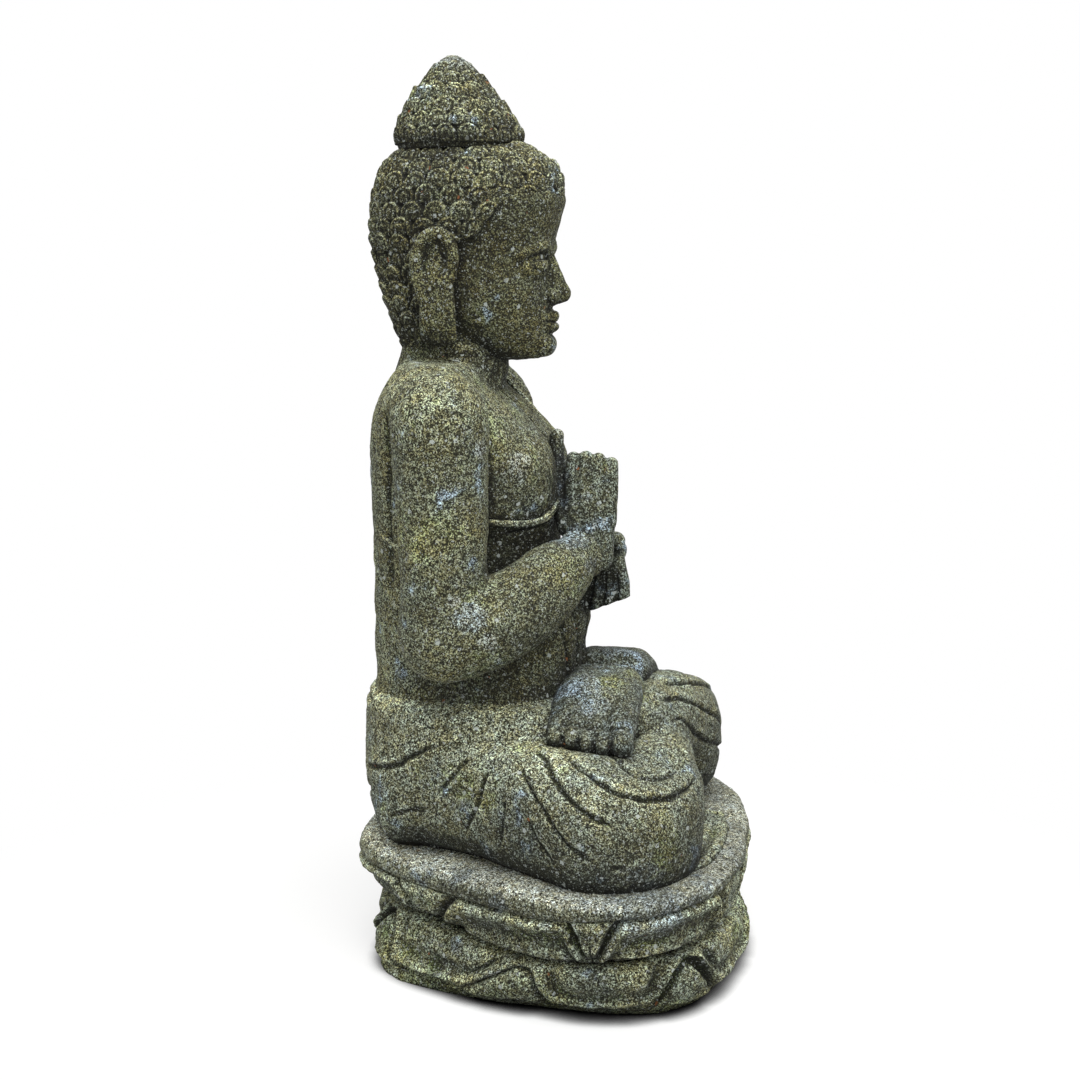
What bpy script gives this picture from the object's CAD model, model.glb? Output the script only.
"""Seated stone Buddha on a double lotus pedestal: carved, weathered surfaces dressed round the frame.

Sizes inside the script are millimetres, as in the frame's drawings, and become metres when a mesh is made.
+Z is up, the figure faces -Y and its left side is +X. Every piece is a surface worked out with numpy: level
sections stacked into a body, or a profile carried along a path. Where forms grow out of each other they are
fused by a voxel remesh, and then carved by moving the surface along its normals.
"""

import logging
import math
from dataclasses import dataclass, replace
from enum import Enum
from typing import Callable, Iterable, Sequence

import bpy
import numpy as np
from mathutils import Matrix, Vector


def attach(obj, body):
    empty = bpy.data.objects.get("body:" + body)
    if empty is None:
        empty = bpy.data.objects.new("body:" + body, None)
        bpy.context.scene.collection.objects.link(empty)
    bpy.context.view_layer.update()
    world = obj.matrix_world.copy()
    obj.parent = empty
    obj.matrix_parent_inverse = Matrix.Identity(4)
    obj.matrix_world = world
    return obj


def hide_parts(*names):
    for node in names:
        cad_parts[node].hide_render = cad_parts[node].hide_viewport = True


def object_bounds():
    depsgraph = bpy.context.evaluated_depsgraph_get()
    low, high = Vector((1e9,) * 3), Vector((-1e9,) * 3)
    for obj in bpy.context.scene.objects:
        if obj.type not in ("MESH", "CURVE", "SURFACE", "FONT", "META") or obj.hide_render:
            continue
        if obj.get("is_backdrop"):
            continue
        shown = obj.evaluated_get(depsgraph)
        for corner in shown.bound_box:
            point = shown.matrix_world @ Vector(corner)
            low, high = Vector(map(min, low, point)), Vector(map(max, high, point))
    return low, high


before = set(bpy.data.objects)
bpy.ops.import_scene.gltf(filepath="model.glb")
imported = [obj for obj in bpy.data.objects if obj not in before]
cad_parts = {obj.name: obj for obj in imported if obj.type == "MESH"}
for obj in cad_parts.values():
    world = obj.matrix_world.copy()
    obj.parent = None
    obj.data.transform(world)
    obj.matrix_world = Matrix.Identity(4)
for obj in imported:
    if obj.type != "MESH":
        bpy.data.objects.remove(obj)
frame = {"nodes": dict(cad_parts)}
CAD_BOX = [list(corner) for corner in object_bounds()]

LOG = logging.getLogger("buddha")
Array = np.ndarray
Row = tuple[float, ...]
MM = 0.001
NEAR_CELL = 3.0
WIDE_CELL = 12.0


# ---- numbers and curves

def cubic(a: Array, b: Array, c: Array, d: Array, t: Array) -> Array:
    """Half of 2b + (c - a)t + (2a - 5b + 4c - d)t^2 + (3b - a - 3c + d)t^3: from b to c as t goes 0 to 1."""
    return 0.5 * (2 * b + (c - a) * t + (2 * a - 5 * b + 4 * c - d) * t ** 2 + (3 * b - a - 3 * c + d) * t ** 3)


def smooth_rows(rows: Sequence[Row], steps: int) -> Array:
    """Smooth curve through rows of numbers: a cubic from each row to the next, the end rows counted twice.

    Args:
        rows: points, or any rows of equal length.
        steps: points made from each row to the next.

    Returns:
        Array of shape (rows, numbers in a row).
    """
    p = np.asarray(rows, float)
    last = len(p) - 1
    place = np.linspace(0.0, last, last * steps + 1)
    i = np.minimum(place.astype(int), last - 1)
    return cubic(p[np.maximum(i - 1, 0)], p[i], p[i + 1], p[np.minimum(i + 2, last)], (place - i)[:, None])


def loop_curve(points: Array, places: Array) -> Array:
    """Points on the same curve, closed into a loop through the given points; places are counted in them."""
    i = np.floor(places).astype(int)
    return cubic(*(points[(i + k) % len(points)] for k in (-1, 0, 1, 2)), (places - i)[:, None])


def ease(low: float, high: float, x: Array) -> Array:
    """0 below low, 1 above high, and 3t^2 - 2t^3 between them. low may be above high."""
    t = np.clip((x - low) / (high - low), 0.0, 1.0)
    return t * t * (3 - 2 * t)


def bell(x: Array, width: float) -> Array:
    """exp(-(x / width)^2)."""
    return np.exp(-np.square(x / width))


def unit(v: Array) -> Array:
    """Vectors at length 1."""
    return v / np.maximum(np.linalg.norm(v, axis=-1, keepdims=True), 1e-9)


CELL_PRIMES = np.array([374761393, 668265263, 2246822519], np.uint64)
SEED_PRIME = 974634777
MIX_PRIME = np.uint64(1274126177)
LOW_32_BITS = np.uint64(0xFFFFFFFF)
LOW_24_BITS = np.uint64(0xFFFFFF)


def lattice(cell: Array, seed: int) -> Array:
    """A steady random number from -1 to 1 for every whole-number cell.

    Args:
        cell: whole numbers of shape (n, k).
        seed: picks another set.

    Returns:
        Array of n numbers.
    """
    mixed = (cell.astype(np.int64).astype(np.uint64) * CELL_PRIMES[: cell.shape[1]]).sum(axis=1)
    mixed = mixed + np.uint64(seed * SEED_PRIME)
    mixed = (mixed ^ (mixed >> np.uint64(13))) & LOW_32_BITS
    mixed = (mixed * MIX_PRIME) & LOW_32_BITS
    mixed = mixed ^ (mixed >> np.uint64(16))
    return (mixed & LOW_24_BITS).astype(float) / 0x7FFFFF - 1.0


def noise(points: Array, size: float, seed: int) -> Array:
    """Soft random relief: the numbers at the eight corners of each lattice cube, eased together.

    Args:
        points: array of shape (n, 3), in millimetres.
        size: width of a lattice cube in millimetres.
        seed: picks another relief.

    Returns:
        n numbers from about -1 to 1.
    """
    q = points / size
    base = np.floor(q).astype(int)
    f = q - base
    f = f * f * (3 - 2 * f)
    total = np.zeros(len(points))
    for corner in np.ndindex(2, 2, 2):
        weight = np.prod(np.where(corner, f, 1 - f), axis=1)
        total += weight * lattice(base + np.array(corner), seed)
    return total


# ---- forms

def oval_rings(rows: Array, around: int) -> Array:
    """Level rings: x is half width * cos^e and y is middle + half depth * sin^e, each with its sign kept.

    Args:
        rows: height, half width, front, back and squareness e of each ring, lowest first.
        around: points in a ring.

    Returns:
        Array of shape (rings, around, 3), counter-clockwise from above.
    """
    z, half, front, back, e = (rows[:, k][:, None] for k in range(5))
    a = np.linspace(0, 2 * np.pi, around, endpoint=False)[None, :]
    c, s = np.cos(a), np.sin(a)
    x = half * np.sign(c) * np.abs(c) ** e
    y = (front + back) / 2 + (back - front) / 2 * np.sign(s) * np.abs(s) ** e
    return np.stack([x, y, np.broadcast_to(z, x.shape)], axis=-1)


@dataclass(frozen=True)
class Form:
    """Rows of numbers, smoothed into a number of steps for each, with a number of points around."""
    rows: tuple[Row, ...]
    around: int = 200
    steps: int = 12

    def dense(self) -> Array:
        """The rows, smoothed."""
        return smooth_rows(self.rows, self.steps)


class Stack(Form):
    """A body through level sections, each a superellipse.

    A row is height, half width, front, back and squareness e. Its section is
    |x / half width|^(2/e) + |y from the middle / half depth|^(2/e) = 1.
    """

    def grid(self) -> Array:
        """The rings of the smoothed rows."""
        return oval_rings(self.dense(), self.around)

    def distance(self, p: Array) -> Array:
        """About how far points are outside, below 0 inside: by scaling the section, and past the ends."""
        rows = self.dense()
        half, front, back, e = (np.interp(p[:, 2], rows[:, 0], rows[:, k]) for k in (1, 2, 3, 4))
        y = p[:, 1] - (front + back) / 2
        power = 2 / e
        scale = (np.abs(p[:, 0] / half) ** power + np.abs(2 * y / (back - front)) ** power) ** (e / 2)
        reach = np.hypot(p[:, 0], y)
        level = reach * (1 - 1 / np.maximum(scale, 1e-3))
        past = np.maximum(rows[0, 0] - p[:, 2], p[:, 2] - rows[-1, 0])
        outside = np.hypot(np.maximum(level, 0), np.maximum(past, 0))
        return np.where(past > 0, outside, np.maximum(level, past))


@dataclass(frozen=True)
class Limb(Form):
    """A round profile carried along a smooth path, with round ends.

    A row is x, y, z and radius. drop lengthens the profile downwards, so that the limb stands squarely on
    what is under it; floor is as low as its middle goes.
    """
    around: int = 28
    steps: int = 6
    drop: float = 0.0
    floor: float = -1e9

    def grid(self) -> Array:
        """Rings square to the path, and shrinking rings at its two ends: (rings, around, 3) numbers.

        A ring is centre + radius * (cos a * side + sin a * up). With drop, a point under the middle of its
        ring is lowered by drop, but not past floor.
        """
        rows = self.dense()
        centre, radius = rows[:, :3], rows[:, 3]
        ahead = unit(np.gradient(centre, axis=0))
        cap = np.linspace(0, np.pi / 2, 7)[:-1]
        start = centre[0] - ahead[0] * (radius[0] * np.cos(cap))[:, None]
        end = centre[-1] + ahead[-1] * (radius[-1] * np.cos(cap[::-1]))[:, None]
        centre = np.concatenate([start, centre, end])
        size = np.concatenate([radius[0] * np.sin(cap), radius, radius[-1] * np.sin(cap[::-1])])
        ahead = np.concatenate([np.repeat(ahead[:1], len(cap), 0), ahead, np.repeat(ahead[-1:], len(cap), 0)])
        steepest = np.abs(ahead).max(axis=0)
        across = np.eye(3)[2 if steepest[2] < 0.95 else int(np.argmin(steepest))]
        side = unit(np.cross(across, ahead))
        up = np.cross(ahead, side)
        a = np.linspace(0, 2 * np.pi, self.around, endpoint=False)
        ring = np.cos(a)[None, :, None] * side[:, None] + np.sin(a)[None, :, None] * up[:, None]
        points = centre[:, None] + np.maximum(size, 0.05)[:, None, None] * ring
        if self.drop:
            low = np.maximum(centre[:, 2] - self.drop, self.floor) - centre[:, 2]
            points[..., 2] += np.where(np.sin(a)[None, :] < 0, np.minimum(low, 0)[:, None], 0.0)
        return points

    def distance(self, p: Array) -> Array:
        """How far points are outside, below 0 inside: from the nearest place on the path, less its radius."""
        rows = self.dense()
        best = np.full(len(p), 1e9)
        for a, b in zip(rows[:-1], rows[1:]):
            q = p
            if self.drop:
                low = max(a[2] - self.drop, min(self.floor, a[2]))
                q = p.copy()
                q[:, 2] -= np.clip(p[:, 2] - a[2], low - a[2], 0)
            along = b[:3] - a[:3]
            t = np.clip((q - a[:3]) @ along / max(along @ along, 1e-9), 0, 1)
            gap = np.linalg.norm(q - a[:3] - t[:, None] * along, axis=1) - (a[3] + t * (b[3] - a[3]))
            best = np.minimum(best, gap)
        return best


def mirrored(path: Iterable[Row]) -> tuple[Row, ...]:
    """The same rows on the other side of the figure."""
    return tuple((-row[0], *row[1:]) for row in path)


def mirrored_limbs(limbs: Iterable[Limb]) -> tuple[Limb, ...]:
    """The same limbs on the other side of the figure."""
    return tuple(replace(limb, rows=mirrored(limb.rows)) for limb in limbs)


# ---- meshes

def ring_quads(levels: int, around: int, closed: bool = False) -> Array:
    """Quads from each ring to the next.

    Args:
        levels: number of rings.
        around: points in a ring.
        closed: joins the last ring to the first.

    Returns:
        Array of shape (n, 4), for rings counter-clockwise seen from the last.
    """
    j, i = np.meshgrid(np.arange(levels if closed else levels - 1), np.arange(around), indexing="ij")
    after, k = (j + 1) % levels, (i + 1) % around
    return np.stack([j * around + i, j * around + k, after * around + k, after * around + i], -1).reshape(-1, 4)


def pole_fans(levels: int, around: int) -> Array:
    """Triangles from the two end rings to the poles, which are points levels * around and the next."""
    ring = np.arange(around)
    after = (ring + 1) % around
    foot, top = levels * around, (levels - 1) * around
    low = np.stack([np.full(around, foot), after, ring], -1)
    return np.concatenate([low, np.stack([np.full(around, foot + 1), top + ring, top + after], -1)])


def mesh_from(name: str, points: Array, quads: Array, triangles: Array) -> bpy.types.Mesh:
    """A smooth-shaded mesh.

    Args:
        name: its name.
        points: its points, in millimetres.
        quads: rows of four point numbers.
        triangles: rows of three point numbers.

    Returns:
        The mesh, in metres.
    """
    mesh = bpy.data.meshes.new(name)
    corners = np.concatenate([quads.ravel(), triangles.ravel()]).astype(np.int32)
    sizes = np.concatenate([np.full(len(quads), 4), np.full(len(triangles), 3)]).astype(np.int32)
    mesh.vertices.add(len(points))
    mesh.vertices.foreach_set("co", (points * MM).astype(np.float32).ravel())
    mesh.loops.add(len(corners))
    mesh.loops.foreach_set("vertex_index", corners)
    mesh.polygons.add(len(sizes))
    mesh.polygons.foreach_set("loop_start", np.concatenate([[0], np.cumsum(sizes)[:-1]]).astype(np.int32))
    mesh.update(calc_edges=True)
    mesh.shade_smooth()
    return mesh


def closed_mesh(name: str, grids: Iterable[Array]) -> bpy.types.Mesh:
    """One mesh of closed tubes.

    Args:
        name: its name.
        grids: each tube's rings, to which a pole is added in the middle of either end.

    Returns:
        The mesh.
    """
    points, quads, fans, base = [], [], [], 0
    for grid in grids:
        levels, around = grid.shape[:2]
        points.append(np.concatenate([grid.reshape(-1, 3), [grid[0].mean(axis=0), grid[-1].mean(axis=0)]]))
        quads.append(ring_quads(levels, around) + base)
        fans.append(pole_fans(levels, around) + base)
        base += levels * around + 2
    return mesh_from(name, np.concatenate(points), np.concatenate(quads), np.concatenate(fans))


def remeshed(mesh: bpy.types.Mesh, voxel: float) -> bpy.types.Mesh:
    """One skin of even quads in place of a mesh.

    Args:
        mesh: closed forms that may run into each other.
        voxel: width of the quads in millimetres.

    Returns:
        The new mesh, under the old name.
    """
    holder = bpy.data.objects.new(mesh.name + "_holder", mesh)
    bpy.context.scene.collection.objects.link(holder)
    remesh = holder.modifiers.new("even skin", "REMESH")
    remesh.mode = "VOXEL"
    remesh.voxel_size = voxel * MM
    remesh.use_smooth_shade = True
    graph = bpy.context.evaluated_depsgraph_get()
    made = bpy.data.meshes.new_from_object(holder.evaluated_get(graph))
    name = mesh.name
    bpy.data.objects.remove(holder)
    bpy.data.meshes.remove(mesh)
    made.name = name
    return made


@dataclass(frozen=True)
class Cut:
    """A groove or fold along a hand-placed path: how deep it is (a ridge below 0), half its width, how high
    the cloth stands on one side of it, which side (-1 or 1), and how far that spreads."""
    path: tuple[Row, ...]
    depth: float
    width: float
    lip: float = 0.0
    side: float = 0.0
    reach: float = 14.0

    def both(self) -> tuple["Cut", "Cut"]:
        """This fold, and the same one on the other side of the figure."""
        return self, replace(self, path=mirrored(self.path), side=-self.side)


class Carving:
    """A closed surface while it is carved: its points in millimetres, moved along its normals."""

    def __init__(self, mesh: bpy.types.Mesh) -> None:
        """Reads a closed mesh's points, edges and normals."""
        self.mesh = mesh
        self.points = self.read(mesh.vertices, "co", 3) / MM
        edges = np.empty(len(mesh.edges) * 2, np.int32)
        mesh.edges.foreach_get("vertices", edges)
        self.edges = edges.reshape(-1, 2)
        self.degree = np.bincount(self.edges.ravel(), minlength=len(self.points))[:, None]
        self.normals = self.read(mesh.vertex_normals, "vector", 3)

    @staticmethod
    def read(source: bpy.types.bpy_prop_collection, name: str, width: int) -> Array:
        """A property of a mesh's elements, width numbers each, as an array."""
        values = np.empty(len(source) * width, np.float32)
        source.foreach_get(name, values)
        return values.reshape(-1, width).astype(float)

    def refresh(self) -> None:
        """Writes the points to the mesh and reads its normals again."""
        self.mesh.vertices.foreach_set("co", (self.points * MM).astype(np.float32).ravel())
        self.mesh.update()
        self.normals = self.read(self.mesh.vertex_normals, "vector", 3)

    def neighbours_mean(self, values: Array) -> Array:
        """For each point's row of values, the mean over the points that its edges lead to."""
        a, b = self.edges.T
        n = len(self.points)
        sums = [np.bincount(a, column[b], n) + np.bincount(b, column[a], n) for column in values.T]
        return np.stack(sums, axis=-1) / self.degree

    def smooth(self, rounds: int, amount: float = 0.5) -> "Carving":
        """Moves each point towards its neighbours' mean, then back by a little more, so nothing shrinks.

        Args:
            rounds: how often.
            amount: share of the way.

        Returns:
            This carving.
        """
        for _ in range(rounds):
            self.points += amount * (self.neighbours_mean(self.points) - self.points)
            self.points -= (amount + 0.02) * (self.neighbours_mean(self.points) - self.points)
        self.refresh()
        return self

    def push(self, height: Array) -> "Carving":
        """Moves every point along its normal by its height."""
        self.points += self.normals * height[:, None]
        self.refresh()
        return self

    def fillet(self, forms: Sequence[Form], reach: float, start: float = -1e3) -> "Carving":
        """Fills the crease between forms: a point whose distances from its two nearest forms differ by gap
        rises by reach / 4 * (1 - gap / reach)^2, which is the first term of a smooth union.

        Args:
            forms: the forms.
            reach: how far from the crease the filling starts.
            start: height under which the crease stays sharp.

        Returns:
            This carving.
        """
        near = np.sort(np.stack([form.distance(self.points) for form in forms]), axis=0)
        gap = np.clip(near[1] - near[0], 0, reach)
        return self.push(reach / 4 * (1 - gap / reach) ** 2 * ease(start, start + 24, self.points[:, 2]))

    def route(self, rows: Sequence[Row], spacing: float = 3.0) -> Array:
        """A path dropped onto the nearest places of the surface, and smoothed twice.

        Args:
            rows: hand-placed points.
            spacing: about how far apart the path's points are.

        Returns:
            The path's points.
        """
        length = np.linalg.norm(np.diff(smooth_rows(rows, 10), axis=0), axis=1).sum()
        path = smooth_rows(rows, max(2, int(length / spacing / max(len(rows) - 1, 1)) + 1))
        middle = path.mean(axis=0)
        reach = np.linalg.norm(path - middle, axis=1).max() + 40
        close = self.points[np.linalg.norm(self.points - middle, axis=1) < reach]
        if not len(close):
            return path
        dropped = close[np.argmin(np.linalg.norm(path[:, None] - close[None], axis=2), axis=1)]
        kernel = np.array([0.25, 0.5, 0.25])
        for _ in range(2):
            inner = np.stack([np.convolve(column, kernel, "valid") for column in dropped.T], axis=-1)
            dropped = np.concatenate([dropped[:1], inner, dropped[-1:]])
        return dropped

    def along(self, path: Array, reach: float) -> tuple[Array, Array, Array, Array]:
        """Places near a path.

        Args:
            path: points of the path.
            reach: how far from it counts.

        Returns:
            Numbers of the points within reach, their distances from the path, which side of it they are on
            (-1 or 1), and how far along it they are (0 to 1).
        """
        middle = path.mean(axis=0)
        wide = np.linalg.norm(path - middle, axis=1).max() + reach
        near = np.flatnonzero(np.linalg.norm(self.points - middle, axis=1) < wide)
        p = self.points[near]
        best = np.full(len(near), 1e9)
        side = np.ones(len(near))
        place = np.zeros(len(near))
        count = len(path) - 1
        for i in range(count):
            ahead = path[i + 1] - path[i]
            t = np.clip((p - path[i]) @ ahead / max(ahead @ ahead, 1e-9), 0, 1)
            off = p - path[i] - t[:, None] * ahead
            gap = np.linalg.norm(off, axis=1)
            closer = gap < best
            best = np.where(closer, gap, best)
            hand = np.einsum("ij,ij->i", np.cross(self.normals[near], ahead), off)
            side = np.where(closer, np.sign(hand), side)
            place = np.where(closer, (i + t) / count, place)
        keep = best < reach
        return near[keep], best[keep], side[keep], place[keep]

    def crease(self, cut: Cut) -> "Carving":
        """Cuts a groove along a path, and may raise the cloth on one side of it.

        The groove is -depth * bell(distance, width), and the raised side is lip * exp(-distance / reach).
        Both fade at the path's ends.

        Args:
            cut: the groove or fold.

        Returns:
            This carving.
        """
        reach = max(3 * cut.width, 3.5 * cut.reach if cut.lip else 0.0)
        near, gap, side, place = self.along(self.route(cut.path), reach)
        move = -cut.depth * bell(gap, cut.width)
        if cut.lip:
            raised = ease(-0.4 * cut.width, 0.8 * cut.width, gap * side * cut.side)
            move = move + cut.lip * raised * np.exp(-gap / cut.reach)
        height = np.zeros(len(self.points))
        height[near] = move * (ease(0, 0.14, place) * ease(1, 0.86, place))
        return self.push(height)

    def fold(self, cuts: Iterable[Cut]) -> "Carving":
        """Cuts the folds of a robe, a third deeper and a fifth narrower than they are listed."""
        for cut in cuts:
            self.crease(replace(cut, depth=1.35 * cut.depth, width=0.78 * cut.width))
        return self

    def bump(self, centre: Row, size: Row, height: float) -> "Carving":
        """Raises or sinks a soft oval: height * exp(-(offset / size)^2), by axes."""
        off = (self.points - np.array(centre)) / np.array(size)
        return self.push(height * np.exp(-np.square(off).sum(axis=1)))

    def weather(self, amount: float = 1.0, swell: float = 1.0) -> "Carving":
        """Wears the stone: soft unevenness over hand breadths, chipped grain, and pits.

        Args:
            amount: how much of it all.
            swell: how much unevenness.

        Returns:
            This carving.
        """
        p = self.points
        uneven = swell * (1.3 * noise(p, 46, 1) + 0.8 * noise(p, 21, 2))
        chip = 0.55 * noise(p, 9, 3) + 0.42 * noise(p, 5, 4) + 0.3 * noise(p, 3, 5)
        pits = -1.3 * ease(0.55, 0.85, noise(p, 7, 6))
        return self.push(amount * (uneven + chip + pits))

    def flatten_below(self, height: float) -> "Carving":
        """Sets every point under a height to that height."""
        self.points[:, 2] = np.maximum(self.points[:, 2], height)
        self.refresh()
        return self

    def mark_hollows(self) -> None:
        """Stores how far the surroundings of each place stand above it, at two scales, as the point
        attribute hollow: from -1 on an edge to 1 in a groove."""
        low = self.points
        depths = []
        for rounds, scale in ((6, 0.9), (40, 3.5)):
            for _ in range(rounds):
                low = 0.5 * low + 0.5 * self.neighbours_mean(low)
            depths.append(np.einsum("ij,ij->i", low - self.points, self.normals) / scale)
        self.store("hollow", np.clip(0.45 * depths[0] + 0.75 * depths[1], -1, 1))

    def mark_blooms(self, blooms: Sequence[Row]) -> None:
        """Stores hand-placed lichen as the point attribute bloom: the strongest exp(-(distance / reach)^2).

        Args:
            blooms: rows of x, y, z and reach; where reach is below 0, lichen is blue-grey and bloom below 0.
        """
        bloom = np.zeros(len(self.points))
        for x, y, z, reach in blooms:
            share = bell(np.linalg.norm(self.points - (x, y, z), axis=1), abs(reach))
            bloom = np.where(share > np.abs(bloom), share * np.sign(reach), bloom)
        self.store("bloom", bloom)

    def store(self, name: str, values: Array) -> None:
        """Keeps one number for each point, for the materials."""
        self.mesh.attributes.new(name, "FLOAT", "POINT").data.foreach_set("value", values.astype(np.float32))


# ---- pieces and their finishes

class Slot(Enum):
    """The record's material slots."""
    MOSSY = "mossy_stone"
    SEAT = "seat_stone"
    ROBE = "robe_stone"
    FOOT = "foot_stone"
    BODY = "body_stone"
    HAND = "hand_stone"
    FACE = "face_stone"
    HAIR = "hair_stone"


BLOOMS: tuple[Row, ...] = (
    (-66, -22, 472, -26), (-76, -28, 452, -22), (-98, 34, 562, 24), (-165, 54, 584, 13), (-20, -6, 590, 12),
    (-29, -40, 520, -17), (-22, -56, 484, -15), (-12, -80, 462, -9), (-30, -8, 560, -9), (-190, 62, 412, -20),
    (-186, 44, 384, 14), (-192, 78, 428, 9), (-84, -44, 324, -27), (-112, -56, 300, -20), (-140, 160, 290, 14),
    (-226, -77, 232, 7), (-240, 24, 122, -14), (-205, 95, 55, 15), (-190, 80, 60, -13), (-175, -129, 35, 15),
    (0, 115, 990, 30), (30, -60, 330, -20), (196, 70, 420, 20), (150, 190, 250, -22), (0, 205, 420, 24),
    (-60, 200, 540, -22), (90, 190, 330, 18), (170, -130, 220, -20), (60, -170, 120, 16), (-60, 180, 60, 18),
    (-262, -140, 136, -52), (-236, -186, 138, -24), (-178, 118, 138, 13), (-196, 70, 134, -16))


@dataclass
class Piece:
    """A finished mesh, the frame's node that it stands for, and its finish."""
    name: str
    node: str
    slot: Slot
    carving: Carving

    def place(self, finishes: dict[Slot, bpy.types.Material], near: "Crowd", wide: "Crowd") -> None:
        """Puts the piece in the scene, on the frame's only body.

        Args:
            finishes: the material of each slot.
            near: the stone close around it.
            wide: the stone further around it.
        """
        skin = self.carving
        low, high = (np.array(corner) / MM for corner in CAD_BOX)
        skin.points = np.clip(skin.points, low + (0.1, 0.1, 0.0), high - 0.1)
        skin.refresh()
        skin.mark_hollows()
        skin.mark_blooms(BLOOMS)
        skin.store("seam", near.shade(skin.points, skin.normals))
        skin.store("shelter", wide.shade(skin.points, skin.normals))
        obj = bpy.data.objects.new(self.name, skin.mesh)
        bpy.context.scene.collection.objects.link(obj)
        obj.data.materials.append(finishes[self.slot])
        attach(obj, "root")
        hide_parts(self.node)
        LOG.info("%s: %d faces", self.name, len(obj.data.polygons))


class Crowd:
    """How much stone stands around a place: points counted by the surface they stand for, in cubes."""

    def __init__(self, skins: Sequence[Carving], cell: float) -> None:
        """Counts the points of every skin, and blurs the count three times over three cubes each way.

        A point stands for the square of the mean length of its edges.

        Args:
            skins: every piece's surface.
            cell: width of a cube in millimetres.
        """
        self.cell = cell
        self.low = np.min([skin.points.min(axis=0) for skin in skins], axis=0) - 8 * cell
        high = np.max([skin.points.max(axis=0) for skin in skins], axis=0) + 8 * cell
        self.shape = np.ceil((high - self.low) / cell).astype(int)
        grid = np.zeros(self.shape.prod())
        for skin in skins:
            a, b = skin.edges.T
            lengths = np.linalg.norm(skin.points[a] - skin.points[b], axis=1)
            around = np.bincount(a, lengths, len(skin.points)) + np.bincount(b, lengths, len(skin.points))
            grid += np.bincount(self.index(skin.points), (around / skin.degree[:, 0]) ** 2, len(grid))
        grid = grid.reshape(self.shape)
        for axis in (0, 1, 2) * 3:
            grid = (np.roll(grid, 1, axis) + grid + np.roll(grid, -1, axis)) / 3
        self.grid = (grid / cell ** 3).ravel()

    def index(self, points: Array) -> Array:
        """The cube that holds each point, as one number."""
        where = np.clip(((points - self.low) / self.cell).astype(int), 0, self.shape - 1)
        return np.ravel_multi_index(tuple(where.T), self.shape)

    def shade(self, points: Array, normals: Array) -> Array:
        """How much stone stands 7/3 of a cube in front of each point: 0 on an open face, 1 in a seam."""
        found = self.grid[self.index(points + 7 / 3 * self.cell * normals)] * self.cell
        return ease(0.135, 0.315, found)


def carved(name: str, own: Sequence[Form], neighbours: Sequence[Form] = (), voxel: float = 2.3,
           blend: float = 12.0, rounds: int = 4) -> Carving:
    """Forms fused into one skin, with its creases and its joints to its neighbours filled.

    Args:
        name: the mesh's name.
        own: the piece's own forms.
        neighbours: forms of other pieces that it grows out of.
        voxel: width of the skin's quads.
        blend: how far a crease is filled.
        rounds: smoothing rounds.

    Returns:
        The skin, ready to be carved.
    """
    skin = Carving(remeshed(closed_mesh(name, [form.grid() for form in own]), voxel)).smooth(rounds)
    if len(own) + len(neighbours) > 1:
        skin.fillet([*own, *neighbours], blend).smooth(1)
    return skin


# ---- pedestal

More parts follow.
